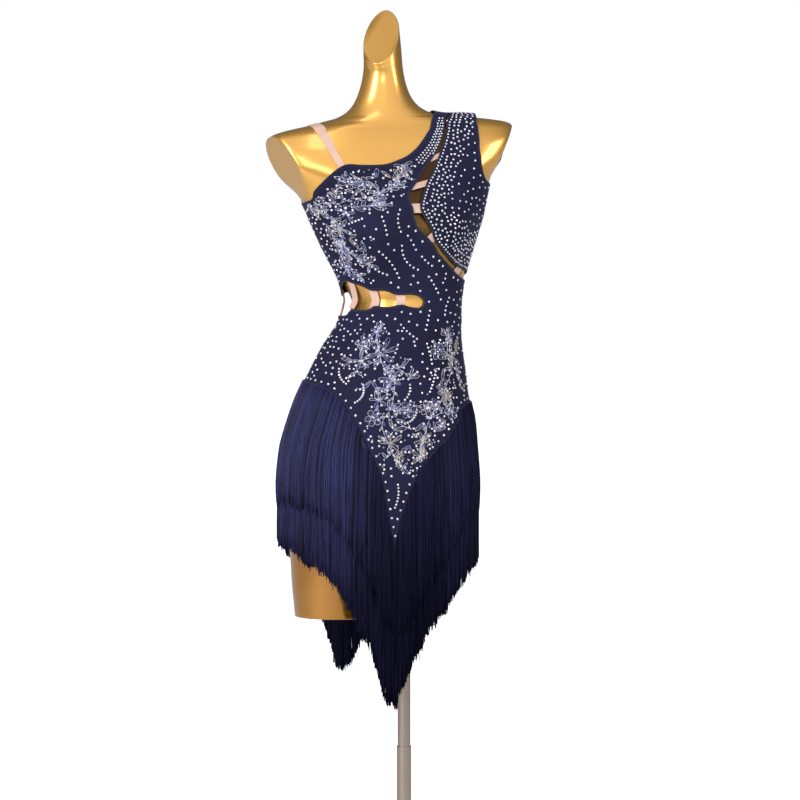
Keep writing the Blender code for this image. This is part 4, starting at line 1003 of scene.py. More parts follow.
def flat_grid(flat, gap):
    """Points of a staggered grid inside the loop, and clear of it."""
    low, high = flat.min(axis=0), flat.max(axis=0)
    rows = np.arange(low[1], high[1], gap * GRID["row"])
    found = []
    for n, y in enumerate(rows):
        x = np.arange(low[0] + (gap / 2 if n % 2 else 0), high[0], gap)
        found.append(np.stack([x, np.full_like(x, y)], axis=-1))
    found = np.vstack(found)
    found = found[in_loop(found, flat)]
    return found[nearness(found, flat) > GRID["clear"] * gap]


CREASE_STEPS = [steps_at(np.array(row.angle), np.array(row.rise)) for row in CREASES]


def cloth_out(angle, rise):
    """How far the creases lift the cloth's outside."""
    angle, rise = np.asarray(angle, float), np.asarray(rise, float)
    lift = np.zeros(np.broadcast(angle, rise).shape)
    for row, (wide, tall) in zip(CREASES, CREASE_STEPS):
        x, y = wrap(angle - row.angle) * wide, (rise - row.rise) * tall
        lean = math.radians(row.lean)
        along = x * math.cos(lean) + y * math.sin(lean)
        across = y * math.cos(lean) - x * math.sin(lean) - row.bend * along**2 / row.length
        lift += row.depth * bell(across, 0, row.width) * bell(along, 0, row.length / 2)
    return lift


def over_creases(spots, lift):
    """Points this far out from the creased cloth, and the directions out of it."""
    angle, rise = spots[..., 0], spots[..., 1]
    points = cloth_points(angle, rise, CLOTH_OUTSIDE + cloth_out(angle, rise) + lift)
    return points, worn_normals(angle, rise)


def build_panel(name, loop, look):
    """A thin shell of cloth on its CAD solid's form."""
    flat = chart(loop)
    corners = np.vstack([flat, flat_grid(flat, FINE["cloth"])])
    edges = [(n, (n + 1) % len(flat)) for n in range(len(flat))]
    placed, _, triangles, *_ = delaunay_2d_cdt([Vector(p) for p in corners], edges, [], 1, JOIN)
    placed = np.array(placed)
    angle, rise = placed[:, 0] / FLAT_DEGREE, placed[:, 1]
    fade = np.clip(nearness(placed, flat) / CREASE_FADE["edge"], CREASE_FADE["least"], 1)
    lift = cloth_out(angle, rise) * fade
    inner = cloth_points(angle, rise, CLOTH_INSIDE + lift)
    outer = cloth_points(angle, rise, CLOTH_OUTSIDE + lift)
    count = len(placed)
    used = {edge for a, b, c in triangles for edge in ((a, b), (b, c), (c, a))}
    rim = [(a, b) for a, b in used if (b, a) not in used]
    shell = [tuple(n + count for n in t) for t in triangles]
    shell += [tuple(reversed(t)) for t in triangles]
    shell += [(b, a, a + count, b + count) for a, b in rim]
    tri = np.array(triangles)
    sides = outer[tri[:, 1]] - outer[tri[:, 0]], outer[tri[:, 2]] - outer[tri[:, 0]]
    area = np.linalg.norm(np.cross(*sides), axis=1).sum() / 2 * MM * MM
    middle = worn_normals(angle[tri[0]], rise[tri[0]]).mean(axis=0)
    if np.dot(np.cross(sides[0][0], sides[1][0]), middle) < 0:
        shell = [tuple(reversed(face)) for face in shell]
    piece = add(name + "_cloth", np.vstack([inner, outer]), shell, look, "velvet")
    piece.data.set_sharp_from_angle(angle=math.radians(SHARP["cloth"]))
    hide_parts(name)
    return piece, area


def build_binding(name, lines, look):
    """The cut edges' narrow turned binding."""
    parts = []
    for line in lines:
        line = even(line, FINE["edge"])
        angle, rise = line[None, :, 0], line[None, :, 1]
        path, normals = cloth_points(angle, rise, BINDING["out"]), worn_normals(angle, rise)
        parts.append(sweep(path, normals, BINDING["radius"], BINDING["sides"], BINDING["flat"]))
    return add(name, *joined(parts), look, "velvet")


def inside(line, loops):
    """The line moved by the stitches' distance to whichever side has cloth."""
    line = even(line, STITCH["pitch"])
    for side in (1, -1):
        path = offset(line, side * STITCH["aside"])
        if max(on_panel(path, loop).mean() for loop in loops.values()) > 0.5:
            return path
    return path


def build_stitches(name, paths, look):
    """Rows of small stitches beside the edges, each highest at its middle."""
    pairs = [pair for path in paths for pair in zip(path, path[1:])]
    spots = np.array([[a + (b - a) * t for t in STITCH["parts"]] for a, b in pairs])
    paths, normals = over_creases(spots, np.array([0.0, STITCH["rise"], 0.0]))
    return add(name, *sweep(paths, normals, STITCH["radius"], STITCH["sides"]), look, "velvet")


# ---- elastics
def build_elastic(name, path, width, look):
    """A ribbed elastic along a path of spots."""
    path = even(path, FINE["elastic"])
    left, scale = leftward(path)
    across = left * width
    columns = np.linspace(-0.5, 0.5, RIBS["columns"] * RIBS["count"] + 1)
    ridge = RIBS["depth"] * (0.5 - 0.5 * np.cos(2 * np.pi * np.arange(len(columns)) / RIBS["columns"]))
    edge = np.clip((0.5 - np.abs(columns)) * width / RIBS["edge"], 0, 1)
    top = ELASTIC_OUTSIDE - RIBS["below"] + ridge * edge - RIBS["edge_drop"] * (1 - edge)
    spread = np.concatenate([columns, columns[::-1]])
    level = np.concatenate([top, np.full(len(columns), ELASTIC_INSIDE)])
    angle = path[:, :1] + across[:, :1] * spread / scale[:, :1]
    rise = path[:, 1:] + across[:, 1:] * spread / scale[:, 1:]
    points = cloth_points(angle, rise, level)
    faces = facing_out(points, skin(1, *points.shape[:2]))
    piece = add(name + "_ribbed", points.reshape(-1, 3), faces, look, "elastic")
    piece.data.set_sharp_from_angle(angle=math.radians(SHARP["elastic"]))
    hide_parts(name)
    return piece


def facing_out(points, faces):
    """The faces, turned over where they make a negative volume."""
    points = np.asarray(points).reshape(-1, 3)
    quads = np.array([face for face in faces if len(face) == 4])
    a, b, c, d = (points[quads[:, n]] for n in range(4))
    volume = (np.cross(b - a, c - a) * a).sum() + (np.cross(c - a, d - a) * a).sum()
    return faces if volume > 0 else [face[::-1] for face in faces]


# ---- the fringe
def fringe_line(edge):
    """The edge as dense spots with its length along the ground."""
    last = len(edge) - 1
    fine = np.linspace(0, last, last * STRANDS["line_parts"] + 1)
    line = spots_at(fine, np.arange(len(edge)), edge)
    return line, lengths_of(worn_points(line[:, 0], line[:, 1])[:, :2])


def hem_rise(angle, layer):
    """Where a layer's strands end."""
    angle = np.where(angle >= HEMS[0].angle, angle, angle + 360)
    return getattr(HEM_TABLE.at(angle), layer)


def hem_wave(angle, name):
    turn = 2 * np.pi * angle / HEM_WAVE["angle"] + len(name)
    return np.sin(turn) + HEM_WAVE["second"] * np.sin(HEM_WAVE["second_rate"] * angle)


def strand_ends(name, layer, at, angle, top, span, dice):
    """The rise at which each strand ends, and its tuft's middle along the seam."""
    tuft = np.cumsum(dice.uniform(*TUFTS["width"], int(span / TUFTS["width"][0]) + TUFTS["spare"]))
    which = np.searchsorted(tuft, at)
    middle = (np.concatenate([[0.0], tuft])[which] + tuft[which]) / 2
    hem = hem_rise(angle, layer.name) + STRANDS["wave"] * hem_wave(angle, name)
    hem += dice.normal(0, TUFTS["length"], len(tuft) + 1)[which]
    hem += dice.normal(0, STRANDS["length"], len(at)) + TUFTS["point"] * np.abs(at - middle)
    if layer.name == "over":
        hem += dice.normal(0, STRANDS["ragged"], len(at))
    return np.minimum(hem, top - STRANDS["least"]), middle


def strand_row(name, row, line, lengths, layer, dice):
    """One row of a layer's strands: their paths, normals and radii."""
    span = lengths[-1]
    count = int(span / STRANDS["pitch"])
    at = (np.arange(count) + STRANDS["start"] + row / STRANDS["rows"]) * span / count
    margin = STRANDS["margin"]
    at = np.clip(at + dice.normal(0, STRANDS["jitter"], count), margin, span - margin)
    angle = np.interp(at, lengths, line[:, 0])
    top = np.interp(at, lengths, line[:, 1]) - TAPE["parted"] - STRANDS["below_seam"]
    wide, _ = steps_at(angle, top)
    hem, middle = strand_ends(name, layer, at, angle, top, span, dice)
    t = np.linspace(0, 1, STRANDS["points"]) ** STRANDS["crowd"]
    rise = top[:, None] + (hem - top)[:, None] * t
    fallen = top[:, None] - rise
    above = rise - hem[:, None]

    end = np.clip(1 - above / TUFTS["reach"], 0, 1)
    shift = (middle - at)[:, None] * (TUFTS["pull"] * end ** TUFTS["pull_power"])
    loose = STRANDS["loose"][row]
    shift += loose * dice.normal(0, STRANDS["lean"], count)[:, None] * fallen / STRANDS["lean_reach"]
    starts = dice.uniform(*STRANDS["sway_starts"], (2, count))[..., None]
    sway = np.clip(fallen / STRANDS["sway_reach"], 0, 1)
    slow, quick = (wave.reach * np.sin(fallen / wave.length + start) for wave, start in zip(SWAY, starts))
    shift += sway * loose * (slow + quick)
    shift += sway * sum(w.reach * np.sin(angle[:, None] / w.turn + fallen / w.fall) for w in GROUP_WAVES)
    shift += STRANDS["curl"] * loose * end * np.sin(fallen / STRANDS["curl_length"] + starts[0])
    near, far = (np.clip(1 - away / STRANDS["splay_reach"], 0, 1) for away in (at, span - at))
    shift += np.sign(angle[-1] - angle[0]) * STRANDS["splay"] * (far - near)[:, None] * sway

    level = layer.inside + (layer.outside - layer.inside) * (row + 0.5) / STRANDS["rows"]
    out = level + dice.normal(0, STRANDS["level"], count)[:, None]
    out = out + STRANDS["level_wave"] * sway * np.sin(fallen / STRANDS["level_length"] + starts[1])
    rate, bend, bend_rate = STRANDS["ripple_rates"]
    out += sway * STRANDS["ripple"] * np.sin(at * rate + bend * np.sin(at * bend_rate))[:, None]
    out += STRANDS["flare"] * np.clip(fallen / STRANDS["flare_reach"], 0, 1)
    if layer.name == "over":
        out -= STRANDS["tuck"] * np.clip(1 - above / STRANDS["tuck_reach"], 0, 1) ** STRANDS["tuck_power"]
    angles = angle[:, None] + shift / wide[:, None]
    radius = STRANDS["radius"] * STRANDS["stout"][row] * (1 - STRANDS["taper"] * t ** STRANDS["taper_power"])
    radii = radius * dice.uniform(*STRANDS["uneven"], count)[:, None]
    return cloth_points(angles, rise, out), worn_normals(angles, rise), radii


def build_strands(name, edge, layer, dice, look):
    """One layer of fringe: fine cords from a tape along the seam, gathered into tufts towards their ends."""
    line, lengths = fringe_line(edge)
    rows = [strand_row(name, row, line, lengths, layer, dice) for row in range(STRANDS["rows"])]
    strands = sweep(*(np.vstack(lot) for lot in zip(*rows)), STRANDS["sides"])
    piece = add(name + "_strands", *strands, look, "fringe")
    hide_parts(name)
    return piece


def build_tape(name, edge, side, layer, look):
    """The woven heading that the strands hang from, sewn under the seam."""
    asides = (TAPE["parted"], TAPE["parted"] + TAPE["height"] / 2, TAPE["parted"] + TAPE["height"])
    across = np.stack([offset(edge, -side * aside) for aside in asides], axis=1)
    out = np.array([layer.inside, layer.inside + TAPE["crown"], layer.inside])
    top = cloth_points(across[..., 0], across[..., 1], out + TAPE["thick"])
    bottom = cloth_points(across[..., 0], across[..., 1], out)
    ring = np.concatenate([top, bottom[:, ::-1]], axis=1)
    faces = facing_out(ring, skin(1, *ring.shape[:2]))
    return add(name + "_tape", ring.reshape(-1, 3), faces, look, "fringe")


# ---- rhinestones
def mark(px, py):
    """A pixel of the photograph as a mark of the fitting view."""
    return Seen(PIXEL["size"] * px - PIXEL["across"], PIXEL["up"] - PIXEL["size"] * py)


class Stones:
    """Stones chosen so far, each clear of those before it."""

    def __init__(self):
        self.spots = np.zeros((0, 2))
        self.points = np.zeros((0, 3))
        self.radii = np.zeros(0)

    def try_all(self, spots, radius, spacing):
        """Takes the spots in turn where they are at least their spacing from every stone so far."""
        spots = np.asarray(spots, float).reshape(-1, 2)
        points = on_cloth(spots)
        spacing = np.broadcast_to(spacing, len(spots))
        radius = np.broadcast_to(radius, len(spots))
        for spot, point, size, gap in zip(spots, points, radius, spacing):
            away = np.linalg.norm(self.points - point, axis=1)
            if len(away) and (away < np.maximum(gap, self.radii + size)).any():
                continue
            self.spots = np.vstack([self.spots, spot])
            self.points = np.vstack([self.points, point])
            self.radii = np.append(self.radii, size)


def gem_shape():
    """A flat-backed cut stone of radius 1: its points and faces."""
    sides = STONE["sides"]
    turns = 2 * np.pi * np.arange(sides) / sides
    high = STONE["height"] / STONE["radius"]
    rings = [(1.0, 0.0, 0.0), (1.0, STONE["girdle"] * high, 0.0), (STONE["table"], high, np.pi / sides)]
    points = [
        np.stack([r * np.cos(turns + spin), r * np.sin(turns + spin), np.full(sides, z)], axis=-1)
        for r, z, spin in rings
    ]
    faces = [tuple(reversed(range(sides))), tuple(range(2 * sides, 3 * sides))]
    for n in range(sides):
        m = (n + 1) % sides
        faces.append((n, m, sides + m, sides + n))
        faces.append((sides + n, sides + m, 2 * sides + n))
        faces.append((2 * sides + n, sides + m, 2 * sides + m))
    return np.vstack(points), faces


def build_stones(name, spots, radii, dice, look):
    """Cut stones at these spots, each turned and tilted a little."""
    gem, gem_faces = gem_shape()
    base, normal = over_creases(spots, STONE["lift"])
    normal = unit(normal + dice.normal(0, STONE["tilt"], normal.shape))
    side = unit(np.cross(normal, dice.normal(0, 1, normal.shape)))
    axes = np.stack([side, np.cross(normal, side), normal], axis=1) * radii[:, None, None]
    points = base[:, None] + np.einsum("pk,nkj->npj", gem, axes)
    count = len(gem)
    faces = [tuple(n * count + k for k in face) for n in range(len(spots)) for face in gem_faces]
    return add(name, points.reshape(-1, 3), faces, look, "velvet", smooth=False)


def row_along(line, aside, gap, first=0.5):
    """Spots at this gap along a line moved sideways. The first is so much of the gap from its end."""
    path = offset(even(line, FINE["edge"]), aside)
    lengths = lengths_of(on_cloth(path))
    return spots_at(np.arange(first * gap, lengths[-1], gap), lengths, path)


def chain_spots(row):
    """Spots along a chain's bow."""
    t = np.linspace(0, 1, row.count)
    x = row.px + (row.to_px - row.px) * t
    y = row.py + (row.to_py - row.py) * t
    length = math.hypot(row.to_px - row.px, row.to_py - row.py)
    bow = 4 * row.bend * t * (1 - t)
    x = x + bow * (row.to_py - row.py) / length
    y = y - bow * (row.to_px - row.px) / length
    return spots_of([mark(a, b) for a, b in zip(x, y)])


def scatter(loop, count, inset, dice):
    """Random spots inside a panel's outline, evenly over its chart, and farther than the inset from it."""
    spots = dice.uniform(loop.min(axis=0), loop.max(axis=0), (count, 2))
    return spots[on_panel(spots, loop, inset)]


# ---- appliques
def flat_to_spots(origin, local):
    """Local millimetres round a spot, as spots."""
    wide, tall = steps_at(np.array(origin[0]), np.array(origin[1]))
    return np.asarray(origin) + local / np.array([wide, tall])


def turned(local, heading):
    lean = math.radians(heading)
    c, s = math.cos(lean), math.sin(lean)
    return local @ np.array([[c, s], [-s, c]])


def petal_outline(length, width, sharp, curl):
    """A closed petal or leaf outline that starts at its foot and lies along the local x axis."""
    t = np.linspace(0, 2 * np.pi, PETAL["points"], endpoint=False)
    x = length * (1 - np.cos(t)) / 2
    y = width / 2 * np.sin(t) * (PETAL["foot"] + (1 - PETAL["foot"]) * (x / length)) ** sharp
    return np.stack([x, y + curl * (x / length) ** 2 * length], axis=-1)


def foot(origin, heading, along, aside=0.0):
    """The spot that lies so far along a heading from the origin, and so far to its left."""
    return flat_to_spots(origin, turned(np.array([[along, aside]]), heading)[0])


class Embroidery:
    """Cords by tone, fills and beads of the appliques. A heading is in degrees."""

    def __init__(self, dice):
        self.dice = dice
        self.cords = [[] for _ in range(TONES)]
        self.fills = []
        self.beads = []

    def cord(self, origin, local, tone, radius=CORD["radius"], looped=True):
        self.cords[tone].append((flat_to_spots(origin, local), radius, looped))

    def add_beads(self, spots, radius):
        self.beads += [(spot, radius) for spot in np.atleast_2d(spots)]

    def petal(self, origin, heading, length, width, tone, sharp, veined=True):
        """A corded outline with its fill and, where it is long, a vein."""
        curl = self.dice.uniform(-PETAL["curl"], PETAL["curl"])
        within = petal_outline(length * PETAL["fill_length"], width * PETAL["fill_width"], sharp, curl)
        raised = self.dice.uniform(*FILL["raised"])
        self.fills.append((flat_to_spots(origin, turned(within, heading)), raised))
        self.cord(origin, turned(petal_outline(length, width, sharp, curl), heading), tone)
        if veined and length > PETAL["least_veined"]:
            t = np.linspace(*PETAL["vein"], PETAL["vein_points"])
            vein = np.stack([t * length, curl * t**2 * length], axis=-1)
            self.cord(origin, turned(vein, heading), tone, CORD["vein"], False)

    def flower(self, origin, heading, size, tone):
        count = FLOWER["petals"] + int(size > FLOWER["large"])
        for n in range(count):
            turn = heading + 360 * n / count + self.dice.normal(0, FLOWER["turn"])
            length = size * self.dice.uniform(*FLOWER["length"])
            start = foot(origin, turn, size * FLOWER["foot"])
            self.petal(start, turn, length, size * FLOWER["width"], tone, FLOWER["sharp"])
        count = FLOWER_BEADS["count"]
        ring = np.radians(np.arange(count) * 360 / count + heading)
        ring = np.stack([np.cos(ring), np.sin(ring)], axis=-1) * size * FLOWER_BEADS["ring"]
        self.add_beads(flat_to_spots(origin, ring), FLOWER_BEADS["radius"])
        self.add_beads(origin, FLOWER_BEADS["middle"])

    def rose(self, origin, heading, size, tone):
        """Rings of broad petals, one inside the other."""
        for n, (reach, count) in enumerate(ROSE["rings"]):
            span = size * reach
            for k in range(count):
                turn = heading + 360 * k / count + ROSE["turn"] * n
                start = foot(origin, turn, span * ROSE["foot"])
                length, width = span * ROSE["length"], span * ROSE["width"]
                self.petal(start, turn, length, width, (tone + n) % 2, ROSE["sharp"], False)
        self.add_beads(origin, FLOWER_BEADS["middle"])

    def leaf(self, origin, heading, size, tone):
        self.petal(origin, heading, size, size * LEAF["width"], tone, LEAF["sharp"])
        self.add_beads(foot(origin, heading, size * LEAF["bead_at"]), LEAF["bead"])

    def spray(self, origin, heading, size, tone):
        """A stalk with narrow leaves on both sides and one at its tip."""
        bend = self.dice.uniform(-SPRAY["bend"], SPRAY["bend"])
        t = np.linspace(0, 1, SPRAY["points"])
        stalk = np.stack([t * size, bend * size * t**2], axis=-1)
        self.cord(origin, turned(stalk, heading), tone, CORD["stalk"], False)
        for n, t in enumerate(SPRAY["leaves"]):
            length = size * (SPRAY["leaf"] - SPRAY["shorter"] * n)
            for side in (-1, 1):
                start = foot(origin, heading, t * size, bend * size * t**2)
                turn = heading + side * (SPRAY["turn"] - SPRAY["less_turn"] * n)
                self.petal(start, turn, length, size * SPRAY["width"], tone, LEAF["sharp"], False)
        along, aside = SPRAY["tip_at"]
        length, width = SPRAY["tip"]
        start = foot(origin, heading, along * size, aside * bend * size)
        self.petal(start, heading, size * length, size * width, tone, LEAF["sharp"])
        self.add_beads(flat_to_spots(origin, turned(stalk[2::2], heading)), SPRAY["bead"])

    def motif(self, kind, origin, heading, size, tone):
        """A motif and, but for a spray, a leaf and some beads beside it."""
        size = size * ART["scale"]
        kinds = {"leaf": self.leaf, "spray": self.spray, "round": self.rose, "flower": self.flower}
        kinds[kind](origin, heading, size, tone)
        if kind == "spray":
            return
        turn = heading + 90 + self.dice.uniform(-ART_LEAF["turn"], ART_LEAF["turn"])
        start = foot(origin, turn, size * ART_LEAF["from_leaf" if kind == "leaf" else "from_flower"])
        self.leaf(start, turn, size * self.dice.uniform(*ART_LEAF["size"]), tone)
        for _ in range(ART["beads"]):
            turn = self.dice.uniform(0, 360)
            place = foot(origin, turn, size * self.dice.uniform(*ART["bead_at"]))
            self.add_beads(place, self.dice.uniform(*ART["bead"]))

    def stem(self, line):
        """A cord along a line, with a small leaf and a bead at every few steps."""
        line = even(line, ART["step"])
        self.cords[0].append((line, CORD["stem"], False))
        steps = np.diff(line, axis=0) * np.stack(steps_at(line[:-1, 0], line[:-1, 1]), axis=-1)
        length, width = STEM_LEAF["length"], STEM_LEAF["width"]
        for n in range(1, len(line) - 2, STEM_LEAF["every"]):
            turn = STEM_LEAF["turn"] * (1 if n % 2 else -1)
            heading = math.degrees(math.atan2(steps[n, 1], steps[n, 0])) + turn
            self.petal(line[n], heading, length, width, n % 2, LEAF["sharp"], False)
            self.add_beads(line[n + 1], STEM_LEAF["bead"])

    def build(self, looks, loops):
        """The appliques as pieces. What would cross a cut edge is left off."""
        made = []
        for tone, look in enumerate(looks["cords"]):
            cords = kept_of(self.cords[tone], loops)
            made.append(add(f"applique_cord_{tone}", *joined(map(cord_shape, cords)), look, "velvet"))
        fills = map(fill_shape, kept_of(self.fills, loops))
        made.append(add("applique_petals", *joined(fills), looks["petal"], "velvet"))
        spots, radii = (np.array(lot) for lot in zip(*kept_of(self.beads, loops)))
        made.append(build_stones("applique_beads", spots, radii, self.dice, looks["stone"]))
        return made


def kept_of(lots, loops):
    """The lots whose spots are all on one panel, clear of its edges."""
    places = [np.atleast_2d(lot[0]) for lot in lots]
    starts = np.cumsum([0] + [len(some) for some in places[:-1]])
    kept = np.zeros(len(lots), bool)
    for loop in loops.values():
        kept |= np.logical_and.reduceat(on_panel(np.vstack(places), loop, ART["edge"]), starts)
    return [lot for lot, stays in zip(lots, kept) if stays]


def cord_shape(cord):
    spots, radius, looped = cord
    path, normals = over_creases(spots[None], CORD["lift"])
    return sweep(path, normals, radius, CORD["sides"], looped=looped)


def fill_shape(fill):
    """A petal's fill, softly raised to its middle."""
    spots, raised = fill
    count = len(spots)
    centre = spots.mean(axis=0)
    ring = np.vstack([spots, centre + (spots - centre) * 0.5, centre[None]])
    lift = np.repeat([FILL["edge"], FILL["half"], FILL["middle"]], [count, count, 1]) + raised
    points, _ = over_creases(ring, lift)
    faces = [tuple(reversed(range(count)))]
    for n in range(count):
        m = (n + 1) % count
        faces.append((n, m, count + m, count + n))
        faces.append((count + n, count + m, 2 * count))
    return points, faces


# ---- materials
class Nodes:
    """Adds nodes to a material's tree or the world's."""

    def __init__(self, tree):
        self.tree = tree

    def node(self, kind, links=None, **settings):
        made = self.tree.nodes.new("ShaderNode" + kind)
        for key, value in settings.items():
            setattr(made, key, value)
        for key, value in (links or {}).items():
            if isinstance(value, bpy.types.NodeSocket):
                self.tree.links.new(value, made.inputs[key])
            else:
                made.inputs[key].default_value = value
        return made


class Look(Nodes):
    """A material with helpers for its nodes."""

    def __init__(self, name, **settings):
        self.made = bpy.data.materials.new(name)
        self.made.use_nodes = True
        super().__init__(self.made.node_tree)
        self.shader = self.tree.nodes["Principled BSDF"]
        for key, value in settings.items():
            socket = self.shader.inputs[key.replace("_", " ").title().replace("Ior", "IOR")]
            socket.default_value = (*value, 1) if isinstance(value, tuple) else value
        self.coords = self.node("TexCoord").outputs["Object"]

    def placed(self, x=1.0, y=1.0, z=1.0):
        """The object's coordinates, stretched."""
        return self.node("Mapping", {"Vector": self.coords, "Scale": (x, y, z)}).outputs["Vector"]

    def noise(self, scale, detail=2.0, vector=None):
        links = {"Vector": vector or self.coords, "Scale": scale, "Detail": detail}
        return self.node("TexNoise", links).outputs["Fac"]

    def cells(self, scale, vector=None):
        return self.node("TexVoronoi", {"Vector": vector or self.coords, "Scale": scale}).outputs["Distance"]

    def waves(self, scale, distortion, vector=None, **settings):
        links = {"Vector": vector or self.coords, "Scale": scale, "Distortion": distortion}
        return self.node("TexWave", links, **settings).outputs["Fac"]

    def island(self):
        """A number of its own for each loose part of the mesh."""
        return self.node("NewGeometry").outputs["Random Per Island"]

    def ramp(self, fac, *stops):
        made = self.node("ValToRGB", {"Fac": fac})
        band = made.color_ramp
        while len(band.elements) < len(stops):
            band.elements.new(0.5)
        for element, (place, colour) in zip(band.elements, stops):
            element.position = place
            element.color = (*colour, 1)
        return made.outputs["Color"]

    def grey(self, fac, low, high, from_low=0.0, from_high=1.0):
        links = {"Value": fac, "From Min": from_low, "From Max": from_high, "To Min": low, "To Max": high}
        return self.node("MapRange", links).outputs["Result"]

    def maths(self, how, a, b=0.0):
        return self.node("Math", {0: a, 1: b}, operation=how).outputs["Value"]

    def mixed(self, how, fac, a, b):
        made = self.node("Mix", data_type="RGBA", blend_type=how)
        colour_inputs = [i for i in made.inputs if i.type == "RGBA"]
        for socket, value in ((made.inputs[0], fac), (colour_inputs[0], a), (colour_inputs[1], b)):
            if isinstance(value, bpy.types.NodeSocket):
                self.tree.links.new(value, socket)
            else:
                socket.default_value = (*value, 1) if isinstance(value, tuple) else value
        return next(o for o in made.outputs if o.type == "RGBA")

    def shaded(self, shade, by):
        """The base colour, darker or lighter by the second number."""
        self.set("Base Color", self.mixed("MULTIPLY", 1.0, shade, by))

    def set(self, socket, value):
        self.tree.links.new(value, self.shader.inputs[socket])

    def bump(self, height, strength, distance, under=None):
        links = {"Height": height, "Strength": strength, "Distance": distance}
        if under:
            links["Normal"] = under
        return self.node("Bump", links).outputs["Normal"]


def cloth_look():
    look = Look(
        "navy_velvet", roughness=0.82, sheen_weight=0.12, sheen_roughness=0.4, sheen_tint=(0.5, 0.5, 1.0)
    )
    look.shader.inputs["Specular IOR Level"].default_value = 0.25
    tone = look.noise(11.0, 3.0)
    nap = look.noise(95.0, 3.0, look.placed(1, 1, 0.35))
    shade = look.ramp(tone, (0.3, (0.0060, 0.0065, 0.0280)), (0.7, (0.0105, 0.0110, 0.0465)))
    fibre = look.grey(nap, 0.82, 1.14)
    look.shaded(shade, fibre)
    knit = look.cells(1500.0, look.placed(1, 1, 0.6))
    under = look.bump(nap, 0.25, 0.0006)
    look.set("Normal", look.bump(knit, 0.3, 0.0002, under))
    look.set("Roughness", look.grey(nap, 0.7, 0.9))
    return look.made


def binding_look():
    look = Look("navy_binding", roughness=0.7, sheen_weight=0.1, sheen_roughness=0.5)
    weave = look.waves(420.0, 1.5)
    look.set("Base Color", look.ramp(weave, (0.1, (0.004, 0.004, 0.016)), (0.9, (0.010, 0.010, 0.040))))
    look.set("Normal", look.bump(weave, 0.4, 0.0003))
    return look.made


def thread_look():
    look = Look("navy_thread", roughness=0.5, sheen_weight=0.2)
    twist = look.waves(900.0, 2.0)
    look.set("Base Color", look.ramp(twist, (0.2, (0.010, 0.009, 0.045)), (0.8, (0.022, 0.020, 0.095))))
    return look.made


# Painted light and shade on the fringe: lighter at the left hip, where the light rakes it, and darker to the
# right and towards the points.
FRINGE_SHADE_ACROSS = [(0.0, 0.9), (0.2, 0.95), (0.34, 0.52), (0.45, 0.41), (0.6, 0.35), (0.78, 0.48), (1.0, 0.36)]


def strand_look():
    look = Look("navy_rayon", roughness=0.62)
    each = look.island()
    streak = look.noise(70.0, 2.0, look.placed(1, 1, 0.06))
    tint = look.maths("ADD", look.maths("MULTIPLY", each, 0.72), look.maths("MULTIPLY", streak, 0.36))
    shade = look.ramp(
        tint,
        (0.15, (0.0048, 0.0047, 0.0165)),
        (0.5, (0.0200, 0.0196, 0.072)),
        (0.85, (0.0450, 0.0445, 0.162)),
    )
    place = look.node("SeparateXYZ", {"Vector": look.coords}).outputs
    levels = [(at, (level,) * 3) for at, level in FRINGE_SHADE_ACROSS]
    # Painted shade: the colour and the specular darken away from the left hip and towards the strands' lower
    # ends.
    across = look.ramp(look.grey(place["X"], 0.0, 1.0, -0.2, 0.12), *levels)
    down = look.grey(place["Z"], 0.42, 1.1, 0.60, 0.82)
    depth = look.maths("MULTIPLY", across, down)
    look.shaded(shade, depth)
    look.set("Specular IOR Level", look.maths("MULTIPLY", depth, 0.22))
    twist = look.waves(260.0, 0.6, look.placed(0.4, 0.4, 1), bands_direction="DIAGONAL")
    look.set("Normal", look.bump(twist, 0.5, 0.0003))
    look.set("Roughness", look.grey(each, 0.5, 0.72))
    return look.made


def elastic_look():
    look = Look("nude_elastic", roughness=0.62, sheen_weight=0.25, sheen_roughness=0.4)
    grain = look.noise(520.0, 3.0)
    blush = look.noise(30.0, 2.0)
    shade = look.ramp(blush, (0.3, (0.70, 0.44, 0.35)), (0.7, (0.80, 0.54, 0.43)))
    look.shaded(shade, look.grey(grain, 0.86, 1.1))
    weft = look.waves(700.0, 1.0)
    look.set("Normal", look.bump(weft, 0.35, 0.0002, look.bump(grain, 0.3, 0.0003)))
    return look.made


def stone_look():
    look = Look("crystal", roughness=0.16, metallic=0.2, coat_weight=1.0, coat_roughness=0.04)
    each = look.island()
    shade = look.ramp(
        each,
        (0.0, (0.62, 0.66, 0.82)),
        (0.3, (0.92, 0.93, 0.96)),
        (0.6, (0.95, 0.86, 0.93)),
        (0.8, (0.78, 0.80, 0.98)),
        (1.0, (0.98, 0.94, 0.86)),
    )
    look.set("Base Color", shade)
    look.set("Roughness", look.grey(look.noise(600.0, 1.0), 0.08, 0.3))
    return look.made


def cord_look(name, low, high):
    look = Look(name, roughness=0.32, metallic=0.3)
    shift = look.noise(140.0, 2.0)
    look.set("Base Color", look.ramp(shift, (0.35, low), (0.65, high)))
    twist = look.waves(520.0, 2.0)
    look.set("Normal", look.bump(twist, 0.5, 0.0003))
    return look.made


def petal_look():
    look = Look("blue_sequin", roughness=0.45, metallic=0.1, coat_weight=0.2, coat_roughness=0.2)
    flake = look.cells(900.0)
    hue = look.noise(55.0, 2.0)
    shade = look.ramp(
        hue, (0.4, (0.007, 0.007, 0.034)), (0.58, (0.012, 0.016, 0.090)), (0.8, (0.030, 0.050, 0.260))
    )
    # Painted highlight: each flake's colour is lighter at its middle and darker towards its rim.
    shine = look.grey(flake, 1.3, 0.6, 0.0, 0.8)
    look.shaded(shade, shine)
    look.set("Normal", look.bump(flake, 0.7, 0.0004))
    return look.made


